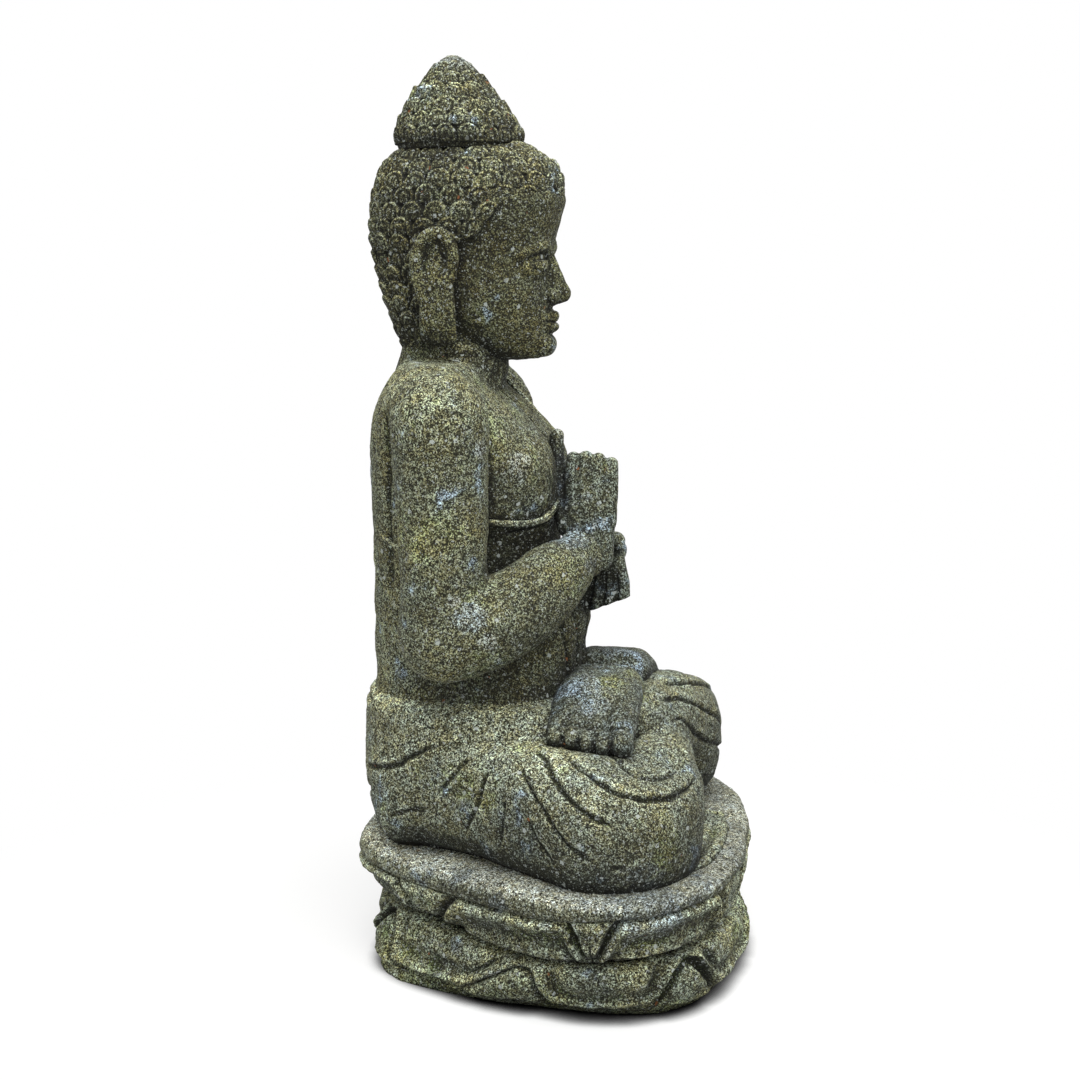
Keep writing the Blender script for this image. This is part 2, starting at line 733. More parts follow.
@dataclass(frozen=True)
class Pedestal:
    """The double lotus pedestal: a core, two tiers of petals and the seat slab.

    All its level sections are one closed outline, inset by different amounts. Towards the ground the
    outline turns into a squarer, rougher one. The shapes are half outlines, from behind to the front, in
    shares of half the width and half the depth. core_rows and slab_rows are heights and insets, and the
    joints are the places of the gaps between petals, counted in outline points.
    """
    width: float = 560.0
    depth: float = 446.0
    top: float = 140.0
    slab: float = 32.0
    waist: float = 72.0
    seat_shape: tuple[Row, ...] = (
        (0, 1), (0.27, 0.965), (0.49, 0.80), (0.68, 0.50), (0.845, 0.15), (0.965, -0.16), (1, -0.41),
        (0.90, -0.69), (0.64, -0.90), (0.32, -0.98))
    foot_shape: tuple[Row, ...] = (
        (0, 0.88), (0.20, 0.90), (0.45, 0.87), (0.64, 0.68), (0.72, 0.32), (0.76, -0.05), (0.79, -0.35),
        (0.755, -0.62), (0.58, -0.82), (0.32, -0.925))
    core_rows: tuple[Row, ...] = (
        (0, 6), (14, 5), (34, 13), (64, 36), (72, 46), (80, 40), (96, 26), (108, 22))
    slab_rows: tuple[Row, ...] = (
        (107, 16), (109, 8), (112, 3.5), (117, 1.5), (124, 2), (130, 4.5), (134.5, 9.5), (137.5, 18), (139, 30),
        (139.5, 42))
    upper_joints: tuple[float, ...] = (0, 2.86, 5.72, 8.58, 11.42, 14.28, 17.14)
    lower_joints: tuple[float, ...] = (1.9, 4.4, 7.5, 10, 12.5, 15.6, 18.1)
    columns: int = 1180

    def loop(self, shape: tuple[Row, ...]) -> Array:
        """A closed outline of 20 points, from the middle behind, counter-clockwise, made of half of one."""
        half = np.array(shape) * (self.width / 2, self.depth / 2)
        return np.concatenate([half * (-1, 1), [(0, -0.985 * self.depth / 2)], half[:0:-1]])

    def ring(self, u: Array, inset: Array, z: Array) -> Array:
        """Points at places u along the outline, inset and at height z.

        The outline is the seat's, with a share (1 - z / waist)^1.6 of the foot's, and inset is inwards along
        its normal. Dents follow: 9 mm behind, under the slab, and 7 mm at the front on the left, and a
        swelling of 6 mm at the front on the right.

        Args:
            u: m places, counted in outline points.
            inset: millimetres, shape (n, m).
            z: heights, shape (n, m).

        Returns:
            Points of shape (n, m, 3).
        """
        seat, foot = self.loop(self.seat_shape), self.loop(self.foot_shape)
        share = (np.clip(1 - z / self.waist, 0, 1) ** 1.6)[..., None]

        def outline(places: Array) -> Array:
            """The outline at every height."""
            return (1 - share) * loop_curve(seat, places) + share * loop_curve(foot, places)
        here = outline(u)
        ahead = unit(outline(u + 0.1) - outline(u - 0.1))
        outward = np.stack([ahead[..., 1], -ahead[..., 0]], axis=-1)
        behind = 9.0 * ease(40, 150, here[..., 1]) * ease(92, 76, z)
        flat = here - (inset + behind)[..., None] * outward
        x, y = flat[..., 0], flat[..., 1]
        y += 7.0 * ease(20, 130, x) * ease(-90, -190, y)
        y -= 6.0 * ease(30, -50, x) * ease(-130, -185, y) * ease(12, 34, z) * ease(80, 62, z)
        return np.concatenate([flat, (z + self.sway(y, z))[..., None]], axis=-1)

    @staticmethod
    def sway(y: Array, z: Array) -> Array:
        """How far the hand-cut lines rise at y and z: the slab's foot rises by 4 mm, and by 15 mm towards the
        front, and the waist hangs 9 mm lower beside the figure than in front of it."""
        foot = 4.0 + 11.0 * ease(0, -130, y)
        waist = -9.0 * bell(y - 10, 80)
        rising = waist * ease(20, 72, z) + (foot - waist) * ease(80, 110, z)
        return rising - foot * np.clip((z - 110) / 30, 0, 1)

    def core_inset(self, z: Array) -> Array:
        """How far the core stands inside the outline at height z."""
        return np.interp(z, *zip(*self.core_rows))

    def places(self, share: float = 1.0) -> Array:
        """Even places along the outline, a share of the finest count."""
        return np.linspace(0, 20, int(self.columns * share), endpoint=False)

    def band(self, name: str, heights: Array, relief: Callable[[Array, Array], Array]) -> Carving:
        """A closed band round the core: its outer side carries a relief, its inner side lies in the core.

        Args:
            name: the mesh's name.
            heights: rising heights of the outer side.
            relief: millimetres outward from the core, from place and height.

        Returns:
            The band.
        """
        u = self.places()
        z = np.broadcast_to(heights[:, None], (len(heights), len(u)))
        outer = self.ring(u, self.core_inset(z) - relief(np.broadcast_to(u, z.shape), z), z)
        inner_z = np.broadcast_to(np.linspace(heights[-1] - 1, heights[0] + 1, 12)[:, None], (12, len(u)))
        inner = self.ring(u, self.core_inset(inner_z) + 9, inner_z)
        points = np.concatenate([outer, inner])
        quads = ring_quads(len(points), len(u), closed=True)
        return Carving(mesh_from(name, points.reshape(-1, 3), quads, np.empty((0, 3), int)))

    @staticmethod
    def across(u: Array, joints: Sequence[float]) -> tuple[Array, Array]:
        """Where places lie in their petals.

        Args:
            u: places along the outline.
            joints: the places of the gaps between petals.

        Returns:
            Place in the petal, -1 to 1, and half the petal's width, in outline points.
        """
        edges = np.array([joints[-1] - 20, *joints, joints[0] + 20])
        k = np.clip(np.searchsorted(edges, u, side="right") - 1, 0, len(edges) - 2)
        half = (edges[k + 1] - edges[k]) / 2
        return (u - edges[k] - half) / half, half

    def petal(self, s: Array, half: Array, rise: Array, length: float, shoulder: float) -> Array:
        """Relief of a broad petal with a rolled lip, and of the small three-cornered leaf between two.

        The petal reaches length * (1 - 0.88 ease(shoulder, 0.98, |s|)) from its root, give or take 2.6 mm.
        With d millimetres inside that edge, it is a groove at d = -1.5, a rolled lip at d = 6.5, a hollow at
        d = 18 and a soft belly beyond, and outside the edge the leaf lies deeper and swells in its middle.

        Args:
            s: place across the petal, -1 to 1.
            half: half the petal's width, in outline places.
            rise: height from the root, in millimetres.
            length: length of the petal.
            shoulder: place where its edge starts to turn back.

        Returns:
            Millimetres outward.
        """
        worn = noise(np.stack([s, half * 9, 0 * s], -1).reshape(-1, 3) * 40, 22, 33).reshape(s.shape)
        reach = length * (1 - 0.88 * ease(shoulder, 0.98, np.abs(s))) + 2.6 * worn
        slope = np.gradient(reach, axis=1) / np.maximum(np.gradient(s, axis=1) * half * 80, 0.5)
        d = (reach - rise) / np.sqrt(1 + np.clip(slope, -2, 2) ** 2)
        lip = 6.0 * bell(d - 6.5, 5.5) - 3.6 * bell(d - 18, 7.0) - 5.0 * bell(d + 1.5, 2.6)
        belly = 4.0 * (1 - s ** 2) * ease(18, 36, d)
        leaf = (-3.5 + 7.5 * ease(0, 11, -d)) * ease(1, -3, d)
        return lip + belly + leaf

    def core(self) -> Carving:
        """The core: rings from the ground to the slab, closed across both ends."""
        u = self.places(0.3)
        z = np.broadcast_to(np.linspace(0, self.top - self.slab + 4, 40)[:, None], (40, len(u)))
        wall = self.ring(u, self.core_inset(z), z)
        low = [wall[0] * (k, k, 1) for k in np.linspace(0.05, 0.95, 12)]
        high = [wall[-1] * (k, k, 1) for k in np.linspace(0.95, 0.05, 6)]
        skin = Carving(closed_mesh("LotusCore", [np.concatenate([low, wall, high])]))
        return skin.weather(0.8).flatten_below(0.0)

    def lower(self) -> Carving:
        """The lower tier: petals that hang, over a rough foot that lifts off the ground by 0 to 11 mm."""
        def relief(u: Array, z: Array) -> Array:
            """The tier's section, with petals above and rough stone at the foot."""
            s, half = self.across(u, self.lower_joints)
            body = np.interp(z, [0, 8, 20, 36, 54, 64, 70], [0, 1, 3.5, 7.5, 13.5, 17, 12])
            rough = 3.2 * noise(np.stack([u.ravel() * 82, z.ravel() * 1.3, 0 * u.ravel()], -1), 17, 31)
            foot = ease(16, 4, z)
            shape = self.petal(s, half, 68 - z, 52.0, 0.5)
            return 1 + body + shape * (1 - foot) + foot * (rough.reshape(z.shape) - 2)
        skin = self.band("LowerPetals", np.linspace(0.0, 70.0, 48), relief).weather(1.2, 1.9)
        p = skin.points
        ragged = np.clip(4.5 + 6.0 * noise(p * (1, 1, 0), 34, 41) + 3.0 * noise(p * (1, 1, 0), 11, 42), 0, 11)
        p[:, 2] = np.where(p[:, 2] < 16, ragged + p[:, 2] * (16 - ragged) / 16, p[:, 2])
        skin.refresh()
        return skin

    def upper(self) -> Carving:
        """The upper tier: petals that rise, their lips under the slab."""
        def relief(u: Array, z: Array) -> Array:
            """The tier's section, with its petals."""
            s, half = self.across(u, self.upper_joints)
            body = np.interp(z, [73, 78, 86, 96, 104, 110], [14, 22, 22, 17, 18, 15])
            return body + self.petal(s, half, z - 71, 38.0, 0.56)
        return self.band("UpperPetals", np.linspace(73.0, 110.0, 30), relief).weather(1.15, 1.3)

    def seat(self) -> Carving:
        """The seat slab: a soft rim with a worn line, and a top that the figure sits on."""
        u = self.places(0.64)
        rows = smooth_rows(self.slab_rows, 6)
        z = np.broadcast_to(rows[:, :1], (len(rows), len(u)))
        rim = self.ring(u, np.broadcast_to(rows[:, 1:], z.shape), z)
        low = [rim[0] * (k, k, 1) for k in np.linspace(0.3, 0.98, 5)]
        high = [rim[-1] * (k, k, 1) + (0, 0, 4 * ease(1, 0.75, k)) for k in np.linspace(0.99, 0.35, 34)]
        skin = Carving(closed_mesh("TopSlab", [np.concatenate([low, rim, high])]))
        p = skin.points
        rim_line = -1.4 * bell(p[:, 2] - 119, 2.2) * ease(-0.1, 0.4, noise(p, 60, 17))
        return skin.push(rim_line + 1.2 * noise(p, 70, 18)).weather(0.9)

    def build(self) -> list[Piece]:
        """All four pieces, from the ground up."""
        return [
            Piece("LotusCore", "lotus_core", Slot.MOSSY, self.core()),
            Piece("LowerPetals", "lower_petals", Slot.MOSSY, self.lower()),
            Piece("UpperPetals", "upper_petals", Slot.MOSSY, self.upper()),
            Piece("TopSlab", "seat_slab", Slot.SEAT, self.seat())]


# ---- lap

@dataclass(frozen=True)
class Lap:
    """The hips, the crossed legs with their feet, and the robe's end on the seat.

    right_folds are the pleats behind, under the knee, round it and over the shin; left_folds start at the
    shin. lift is how much a knee and its shin stand higher, and foot_y and foot_z are the middle of a foot.
    """
    seat_top: float = 140.0
    leg_height: float = 144.0
    knee_x: float = 180.0
    hem_z: float = 300.0
    foot_width: float = 96.0
    foot_y: float = -56.0
    foot_z: float = 271.0
    right_lift: float = -14.0
    left_lift: float = 16.0
    hip_folds: tuple[Cut, ...] = (
        Cut(((90, 194, 292), (40, 206, 290), (0, 208, 289), (-40, 206, 290), (-90, 194, 292)), 3, 3.2),
        *Cut(((-75, 209, 216), (-120, 186, 226), (-141, 165, 234), (-152, 141, 248)), 3, 4, 2, 1, 12).both(),
        Cut(((-60, 214, 250), (0, 220, 236), (60, 214, 250)), 2.4, 4.5, 1.5, 1, 14),
        Cut(((-84, 204, 190), (0, 216, 174), (84, 204, 190)), 2.6, 5, 1.5, 1, 16))
    right_folds: tuple[Cut, ...] = (
        Cut(((-75, 209, 216), (-141, 165, 234), (-152, 141, 248), (-150, 115, 260), (-151, 94, 270),
             (-150, 72, 279), (-147, 55, 285)), 3.2, 4, 2.5, 1, 12),
        Cut(((-172, 70, 257), (-181, 88, 239), (-180, 109, 213)), 2.6, 3.5, 1.5, 1, 10),
        Cut(((-190, 46, 249), (-198, 56, 232), (-200, 67, 204), (-197, 74, 187), (-193, 81, 172)),
            3.2, 3.6, 2.5, 1, 12),
        Cut(((-214, 26, 226), (-216, 30, 206), (-214, 34, 180), (-212, 40, 164)), 2.6, 3, 2, 1, 10),
        Cut(((-147, 166, 177), (-163, 143, 186), (-172, 128, 190)), 2.2, 3.2, 1.5, 1, 9),
        Cut(((-178, -34, 264), (-198, -52, 258), (-212, -72, 249), (-221, -99, 239), (-212, -123, 231),
             (-184, -146, 226), (-149, -160, 227), (-106, -165, 227)), 3.6, 4, 3.4, 1, 14),
        Cut(((-150, -74, 256), (-164, -85, 250), (-186, -111, 247), (-168, -136, 242), (-136, -150, 243)),
            3, 3.6, 2.8, 1, 12),
        Cut(((-172, -2, 268), (-187, -17, 263), (-215, -31, 250), (-231, -49, 234), (-239, -71, 220),
             (-236, -98, 208)), 3.4, 3.6, 3, 1, 13),
        Cut(((-196, 8, 258), (-219, -6, 239), (-239, -33, 207), (-242, -51, 190), (-246, -77, 175)),
            3.2, 3.4, 2.8, 1, 12),
        Cut(((-224, -2, 214), (-233, -8, 193), (-237, -24, 177), (-239, -33, 165)), 2.6, 3, 2, 1, 10),
        Cut(((-120, -60, 262), (-104, -92, 284), (-76, -112, 292), (-40, -124, 290)), 2.6, 3.6, 2, 1, 12),
        Cut(((-88, -100, 302), (-70, -122, 270), (-84, -146, 252), (-116, -160, 243)), -2.4, 6))
    left_folds: tuple[Cut, ...] = (
        Cut(((7, -117, 299), (43, -134, 293), (100, -150, 284), (151, -161, 266), (190, -158, 236)),
            3.4, 4, 3, 1, 13),
        Cut(((-37, -117, 292), (3, -136, 285), (23, -148, 277), (89, -167, 247), (150, -176, 214)),
            3.4, 4, 3, 1, 13),
        Cut(((-34, -132, 275), (-3, -147, 255), (50, -161, 230), (141, -175, 198), (196, -164, 176)),
            3.2, 3.8, 2.8, 1, 12),
        Cut(((150, -60, 262), (178, -84, 262), (204, -112, 248), (214, -138, 222)), 3.2, 3.8, 2.8, -1, 12),
        Cut(((182, -8, 262), (214, -34, 250), (236, -66, 226), (240, -96, 204)), 3.2, 3.6, 2.8, -1, 12),
        Cut(((196, 30, 246), (226, 4, 228), (242, -30, 204), (246, -62, 180)), 3, 3.4, 2.6, -1, 12),
        Cut(((190, 78, 236), (200, 66, 206), (196, 72, 178)), 2.8, 3.4, 2.2, -1, 11),
        Cut(((147, 166, 177), (165, 140, 188), (178, 118, 194)), 2.2, 3.2, 1.5, -1, 9))

    def hips(self) -> Stack:
        """The hips, from the seat to the waist hem."""
        top, hem = self.seat_top, self.hem_z
        return Stack(((top - 8, 146, -124, 194, 0.9), (top + 22, 158, -140, 210, 0.85),
                      (top + 76, 162, -128, 218, 0.85), (hem - 40, 156, -100, 217, 0.85),
                      (hem - 12, 147, -66, 215, 0.85), (hem - 2, 135, -54, 208, 0.85)))

    def leg(self, lift: float) -> tuple[Limb, ...]:
        """A leg on the right: the thigh and knee, the shin that rises over the other leg, and a filling. Its
        knee and shin stand higher by lift."""
        z = self.seat_top + self.leg_height * 0.42
        r = self.leg_height * 0.45
        front, x = -112.0, -self.knee_x
        floor = self.seat_top + 24
        thigh = Limb(((-100, 116, z + 8, r + 6), (-140, 40, z + 4, r + 3), (-176, -36, z, r),
                      (x - 8, -88, z - 4 + lift / 2, r - 3), (x + 34, front, z + lift, r),
                      (-100, front, z + 16 + lift, r - 4)), 64, 8, 26, floor)
        shin = Limb(((-100, front, z + 16 + lift, r - 4), (-44, front + 4, z + 34 + lift, r - 10),
                     (14, front + 14, z + 52 + lift / 2, r - 20), (56, front + 30, z + 64, r - 28)), 48, 8)
        inner = Limb(((-92, 100, z, r - 10), (-104, 0, z - 10, r - 14), (-108, -70, z - 10, r - 16)), 48, 6)
        return thigh, shin, inner

    def foot(self, up: float) -> tuple[Limb, ...]:
        """The left foot, on the right thigh, raised by up: ball, arch and heel, and five toes in a row."""
        half, y, z = self.foot_width / 2, self.foot_y, self.foot_z + up
        sides = tuple(
            Limb(((-133, y + k * (half - 15), z + 7, 14), (-104, y + k * (half - 19), z + 17, 20),
                  (-70, y + k * (half - 25), z + 28, 25), (-26, y + k * 20, z + 32, 27)), 32, 6)
            for k in (-1.0, -0.33, 0.33, 1.0))
        toe_rows = ((-37, -1, 12.4), (-16, -4, 11.0), (1, -2, 10.8), (17.5, 2, 10.4), (34, 4, 10.4))
        toes = tuple(
            Limb(((-122, y + out, z + 12 + lift, 0.8 * size), (-142, y + out, z + 8 + lift, 0.82 * size),
                  (-153 + i, y + out, z + 1 + lift, size)), 28, 5)
            for i, (out, lift, size) in enumerate(toe_rows))
        return (*sides, *toes)

    def toed(self, skin: Carving, side: int, up: float) -> Carving:
        """Cuts the gaps between the toes and the line under the ball of the foot.

        Args:
            skin: a foot.
            side: -1 for the foot on the right thigh, 1 for the other.
            up: how much higher it lies.

        Returns:
            The carved foot.
        """
        y, z = self.foot_y, self.foot_z + up
        for gap, lift in ((-25.5, -2), (-7.5, -3), (9.5, 0), (26.0, 3)):
            path = ((side * 153, y + gap, z + 7 + lift), (side * 158, y + gap, z + 3 + lift),
                    (side * 160, y + gap, z - 3 + lift), (side * 157, y + gap, z - 11 + lift))
            skin.crease(Cut(path, 4.8, 2.0))
        ball = ((side * 142, y - 46, z + 11), (side * 143, y - 24, z + 16), (side * 143, y + 4, z + 18),
                (side * 141, y + 34, z + 22))
        return skin.crease(Cut(ball, 2.6, 3.0)).weather(0.55)

    def robe_folds(self) -> tuple[Limb, ...]:
        """Pleats of the robe's end, fanned out on the seat in front of the shins, over two long strips."""
        top = self.seat_top
        pleats = tuple(
            Limb(((x * 0.5, -136, top + 1, 10), (x * 0.8, -162, top - 1, 9.5),
                  (x, -190 + abs(x) * 0.3, top - 3, 8)), 20, 5)
            for x in (-44.0, -30.0, -16.0, 0.0, 14.0, 29.0, 44.0))
        front = Limb(((52, -184, top - 3, 6), (-20, -190, top - 2, 7.5), (-90, -186, top - 2, 8),
                      (-140, -173, top - 3, 7), (-178, -146, top - 4, 5)), 20, 14)
        behind = Limb(((40, -168, top - 1, 7), (-30, -174, top + 1, 8), (-95, -169, top + 1, 8),
                       (-138, -156, top, 6)), 20, 14)
        return (*pleats, front, behind)

    def tucked(self, skin: Carving) -> Carving:
        """Narrows the hips and thighs where they lie beside each other, and curves their foot under.

        With t the height over the seat as a share of 62 mm, a side that stood at foot + gap comes to
        foot + 0.5 gap * sqrt(1 - (1 - t)^2), both of which depend on how far back it lies. Over the thigh
        it goes back to where it was.
        """
        p = skin.points
        t = np.clip((p[:, 2] - self.seat_top - 3) / 62, 0, 1)
        back = (-54, -35, -2, 22, 57, 88, 130, 168, 190)
        foot = np.interp(p[:, 1], back, (247, 231, 207, 186, 158, 138, 114, 90, 90))
        gap = np.interp(p[:, 1], back, (3, 9, 21, 28, 42, 43, 36, 10, 0))
        share = (foot + 0.5 * gap * np.sqrt(1 - (1 - t) ** 2)) / (foot + gap)
        p[:, 0] *= share + (1 - share) * ease(210, 285, p[:, 2])
        skin.refresh()
        return skin

    def build(self, torso: Form) -> list[Piece]:
        """All six pieces.

        Args:
            torso: the trunk that the hips grow into.

        Returns:
            The pieces.
        """
        under_slab = self.seat_top - 9
        higher = 6.0
        body, right, left = self.hips(), self.leg(self.right_lift), mirrored_limbs(self.leg(self.left_lift))
        hips = self.tucked(carved("Hips", [body], [torso, *right, *left], blend=20))
        hips.fold(self.hip_folds).weather(0.9).flatten_below(under_slab)
        right_leg = self.tucked(carved("RightLeg", right, [body, *left], voxel=2.0, blend=14))
        right_leg.bump((-156, -84, 242), (24, 26, 24), 12.0).bump((-158, -50, 252), (22, 24, 14), 3.0)
        right_leg.fold(self.right_folds).weather(0.95).flatten_below(under_slab)
        left_leg = self.tucked(carved("LeftLeg", left, [body, *right], voxel=2.0, blend=14))
        left_leg.bump((165, -140, 258), (60, 40, 26), 8.0)
        left_leg.fold(self.left_folds).weather(0.95).flatten_below(under_slab)
        left_foot = carved("LeftFoot", self.foot(0.0), [body], voxel=1.5, blend=4, rounds=2)
        other = mirrored_limbs(self.foot(higher))
        right_foot = carved("RightFoot", other, [body], voxel=1.8, blend=4, rounds=2)
        robe = carved("RobeEnd", self.robe_folds(), voxel=1.5, blend=5, rounds=2)
        return [
            Piece("Hips", "hips", Slot.ROBE, hips),
            Piece("RightLeg", "right_leg", Slot.ROBE, right_leg),
            Piece("LeftLeg", "left_leg", Slot.ROBE, left_leg),
            Piece("LeftFoot", "left_foot", Slot.FOOT, self.toed(left_foot, -1, 0.0)),
            Piece("RightFoot", "right_foot", Slot.FOOT, self.toed(right_foot, 1, higher)),
            Piece("RobeEnd", "robe_end", Slot.ROBE, robe.weather(0.6).flatten_below(under_slab))]


# ---- trunk

@dataclass(frozen=True)
class Trunk:
    """The trunk under its robe, the robe's rolled hem and the neck.

    front_folds are two lines of the chest and five folds that hang over the belly; back_folds are the
    creases behind the arms, four folds across the back and the line of the spine.
    """
    hem_z: float = 300.0
    waist: float = 108.0
    shoulder: float = 150.0
    shoulder_z: float = 668.0
    back: float = 206.0
    chin_z: float = 670.0
    hem_radius: float = 3.7
    hem_path: tuple[Row, ...] = (
        (-118, 62, 500), (-98, 16, 498), (-58, -2, 504), (-20, -6, 522), (18, 0, 556), (45, 29, 600),
        (66, 65, 636), (78, 90, 659), (82, 114, 665), (80, 146, 658), (62, 180, 630), (20, 198, 574),
        (-30, 200, 520), (-78, 185, 480), (-99, 157, 466), (-107, 132, 466))
    front_folds: tuple[Cut, ...] = (
        Cut(((-112, 40, 484), (-100, 8, 484), (-66, -6, 490), (-26, -10, 508)), 2.6, 3, 1.5, 1, 12),
        Cut(((-30, 57, 652), (-6, 36, 622), (-20, 8, 588), (-30, -2, 556), (-36, -6, 524)), 2.2, 4),
        Cut(((-76, -8, 404), (-66, -22, 372), (-58, -28, 340), (-58, -30, 304)), 2.4, 4, 1.6, 1, 12),
        Cut(((-44, -18, 420), (-38, -28, 380), (-32, -32, 340), (-34, -32, 304)), 2.4, 4, 1.6, 1, 12),
        Cut(((-12, -20, 424), (-8, -30, 380), (-4, -34, 340), (-6, -34, 304)), 2.3, 4, 1.5, 1, 12),
        Cut(((22, -20, 424), (24, -30, 380), (26, -34, 340), (26, -34, 304)), 2.3, 4, 1.5, -1, 12),
        Cut(((58, -12, 420), (62, -26, 376), (64, -30, 340), (62, -30, 304)), 2.3, 4, 1.5, -1, 12))
    back_folds: tuple[Cut, ...] = (
        *Cut(((-129, 163, 624), (-121, 166, 582), (-107, 170, 519), (-95, 176, 465), (-92, 182, 410)),
             3, 6).both(),
        Cut(((104, 176, 620), (70, 196, 560), (24, 204, 500), (-30, 206, 450), (-84, 190, 412)),
            2.6, 4.5, 2.2, 1, 16),
        Cut(((112, 172, 590), (84, 196, 528), (40, 206, 462), (-16, 208, 404), (-76, 196, 362)),
            2.6, 4.5, 2.2, 1, 16),
        Cut(((108, 176, 530), (84, 198, 470), (44, 207, 410), (-8, 208, 356), (-60, 200, 322)),
            2.4, 4.5, 2, 1, 16),
        Cut(((98, 184, 460), (78, 200, 410), (48, 206, 362), (10, 206, 322)), 2.4, 4.5, 2, 1, 16),
        Cut(((0, 200, 600), (-4, 204, 560), (-6, 204, 520)), 2.4, 12))

    def torso(self) -> Stack:
        """The trunk, from the waist hem to the foot of the neck."""
        hem, top, back, waist, shoulder = self.hem_z, self.shoulder_z, self.back, self.waist, self.shoulder
        return Stack((
            (hem - 10, waist + 16, -28, back, 0.85), (hem + 40, waist + 4, -30, back + 1, 0.85),
            (hem + 88, waist, -29, back, 0.85), (hem + 160, waist + 2, -2, back + 1, 0.85),
            (top - 148, waist + 16, -6, back, 0.8), (top - 96, shoulder - 14, 4, back - 4, 0.8),
            (top - 56, shoulder, 36, back - 11, 0.8), (top - 26, shoulder, 67, back - 24, 0.8),
            (top - 6, shoulder - 24, 80, back - 36, 0.85), (top, shoulder - 48, 88, back - 47, 0.9)))

    def neck(self) -> tuple[Form, ...]:
        """The neck, and after it the two soft rings of an ideal neck."""
        top, chin = self.shoulder_z, self.chin_z
        angles = np.radians(np.arange(196.0, 345.0, 18.0))
        rings = tuple(
            Limb(tuple((54 * math.cos(a), 119 + 50 * math.sin(a), z + 3 * math.sin(a), 7.5) for a in angles),
                 20, 5)
            for z in (top + 1, top + 14))
        body = Stack((
            (top - 64, 46, 88, 174, 1), (top - 36, 62, 66, 182, 1), (top - 14, 64, 58, 183, 1),
            (top, 60, 60, 180, 1), (chin + 20, 56, 66, 174, 1), (chin + 52, 56, 66, 172, 1)))
        return (body, *rings)

    def hem(self) -> Limb:
        """The robe's rolled hem: under the right arm, over the chest to the left shoulder, and back."""
        return Limb(tuple((*point, self.hem_radius) for point in self.hem_path), 20, 10)

    def build(self, hips: Form, upper_arms: Sequence[Form], skull: Form) -> list[Piece]:
        """All three pieces.

        Args:
            hips: the hips, which the trunk stands on.
            upper_arms: the upper arms, which grow out of it.
            skull: the head, which the neck carries.

        Returns:
            The pieces.
        """
        body, neck = self.torso(), self.neck()
        torso = carved("Torso", [body], [neck[0], hips], blend=12).fillet([body, *upper_arms], 26, 612)
        torso.bump((-62, 4, 562), (42, 60, 36), 7.0).bump((66, 8, 560), (44, 60, 38), 5.0)
        torso.bump((-6, -14, 440), (70, 40, 22), -4.0).bump((4, -32, 386), (34, 14, 20), 7.0)
        torso.bump((112, 60, 644), (44, 26, 30), -11.0)
        for side in (-1, 1):
            torso.bump((side * 62, 190, 590), (36, 40, 60), 4.0)
        torso.fold((*self.front_folds, *self.back_folds)).weather(0.9)
        hem = carved("RobeHem", [self.hem()], [body, *upper_arms], voxel=1.6, blend=6, rounds=2)
        outer = tuple((x * 1.03, y + (-6 if y < 100 else 6), z) for x, y, z in self.hem_path)
        hem.crease(Cut(outer, 2.2, 2.0)).weather(0.5)
        throat = carved("Neck", neck, [body, skull], voxel=1.9, blend=14, rounds=3).weather(0.8)
        return [
            Piece("Torso", "torso", Slot.BODY, torso),
            Piece("RobeHem", "robe_hem", Slot.ROBE, hem),
            Piece("Neck", "neck", Slot.BODY, throat)]


# ---- arms

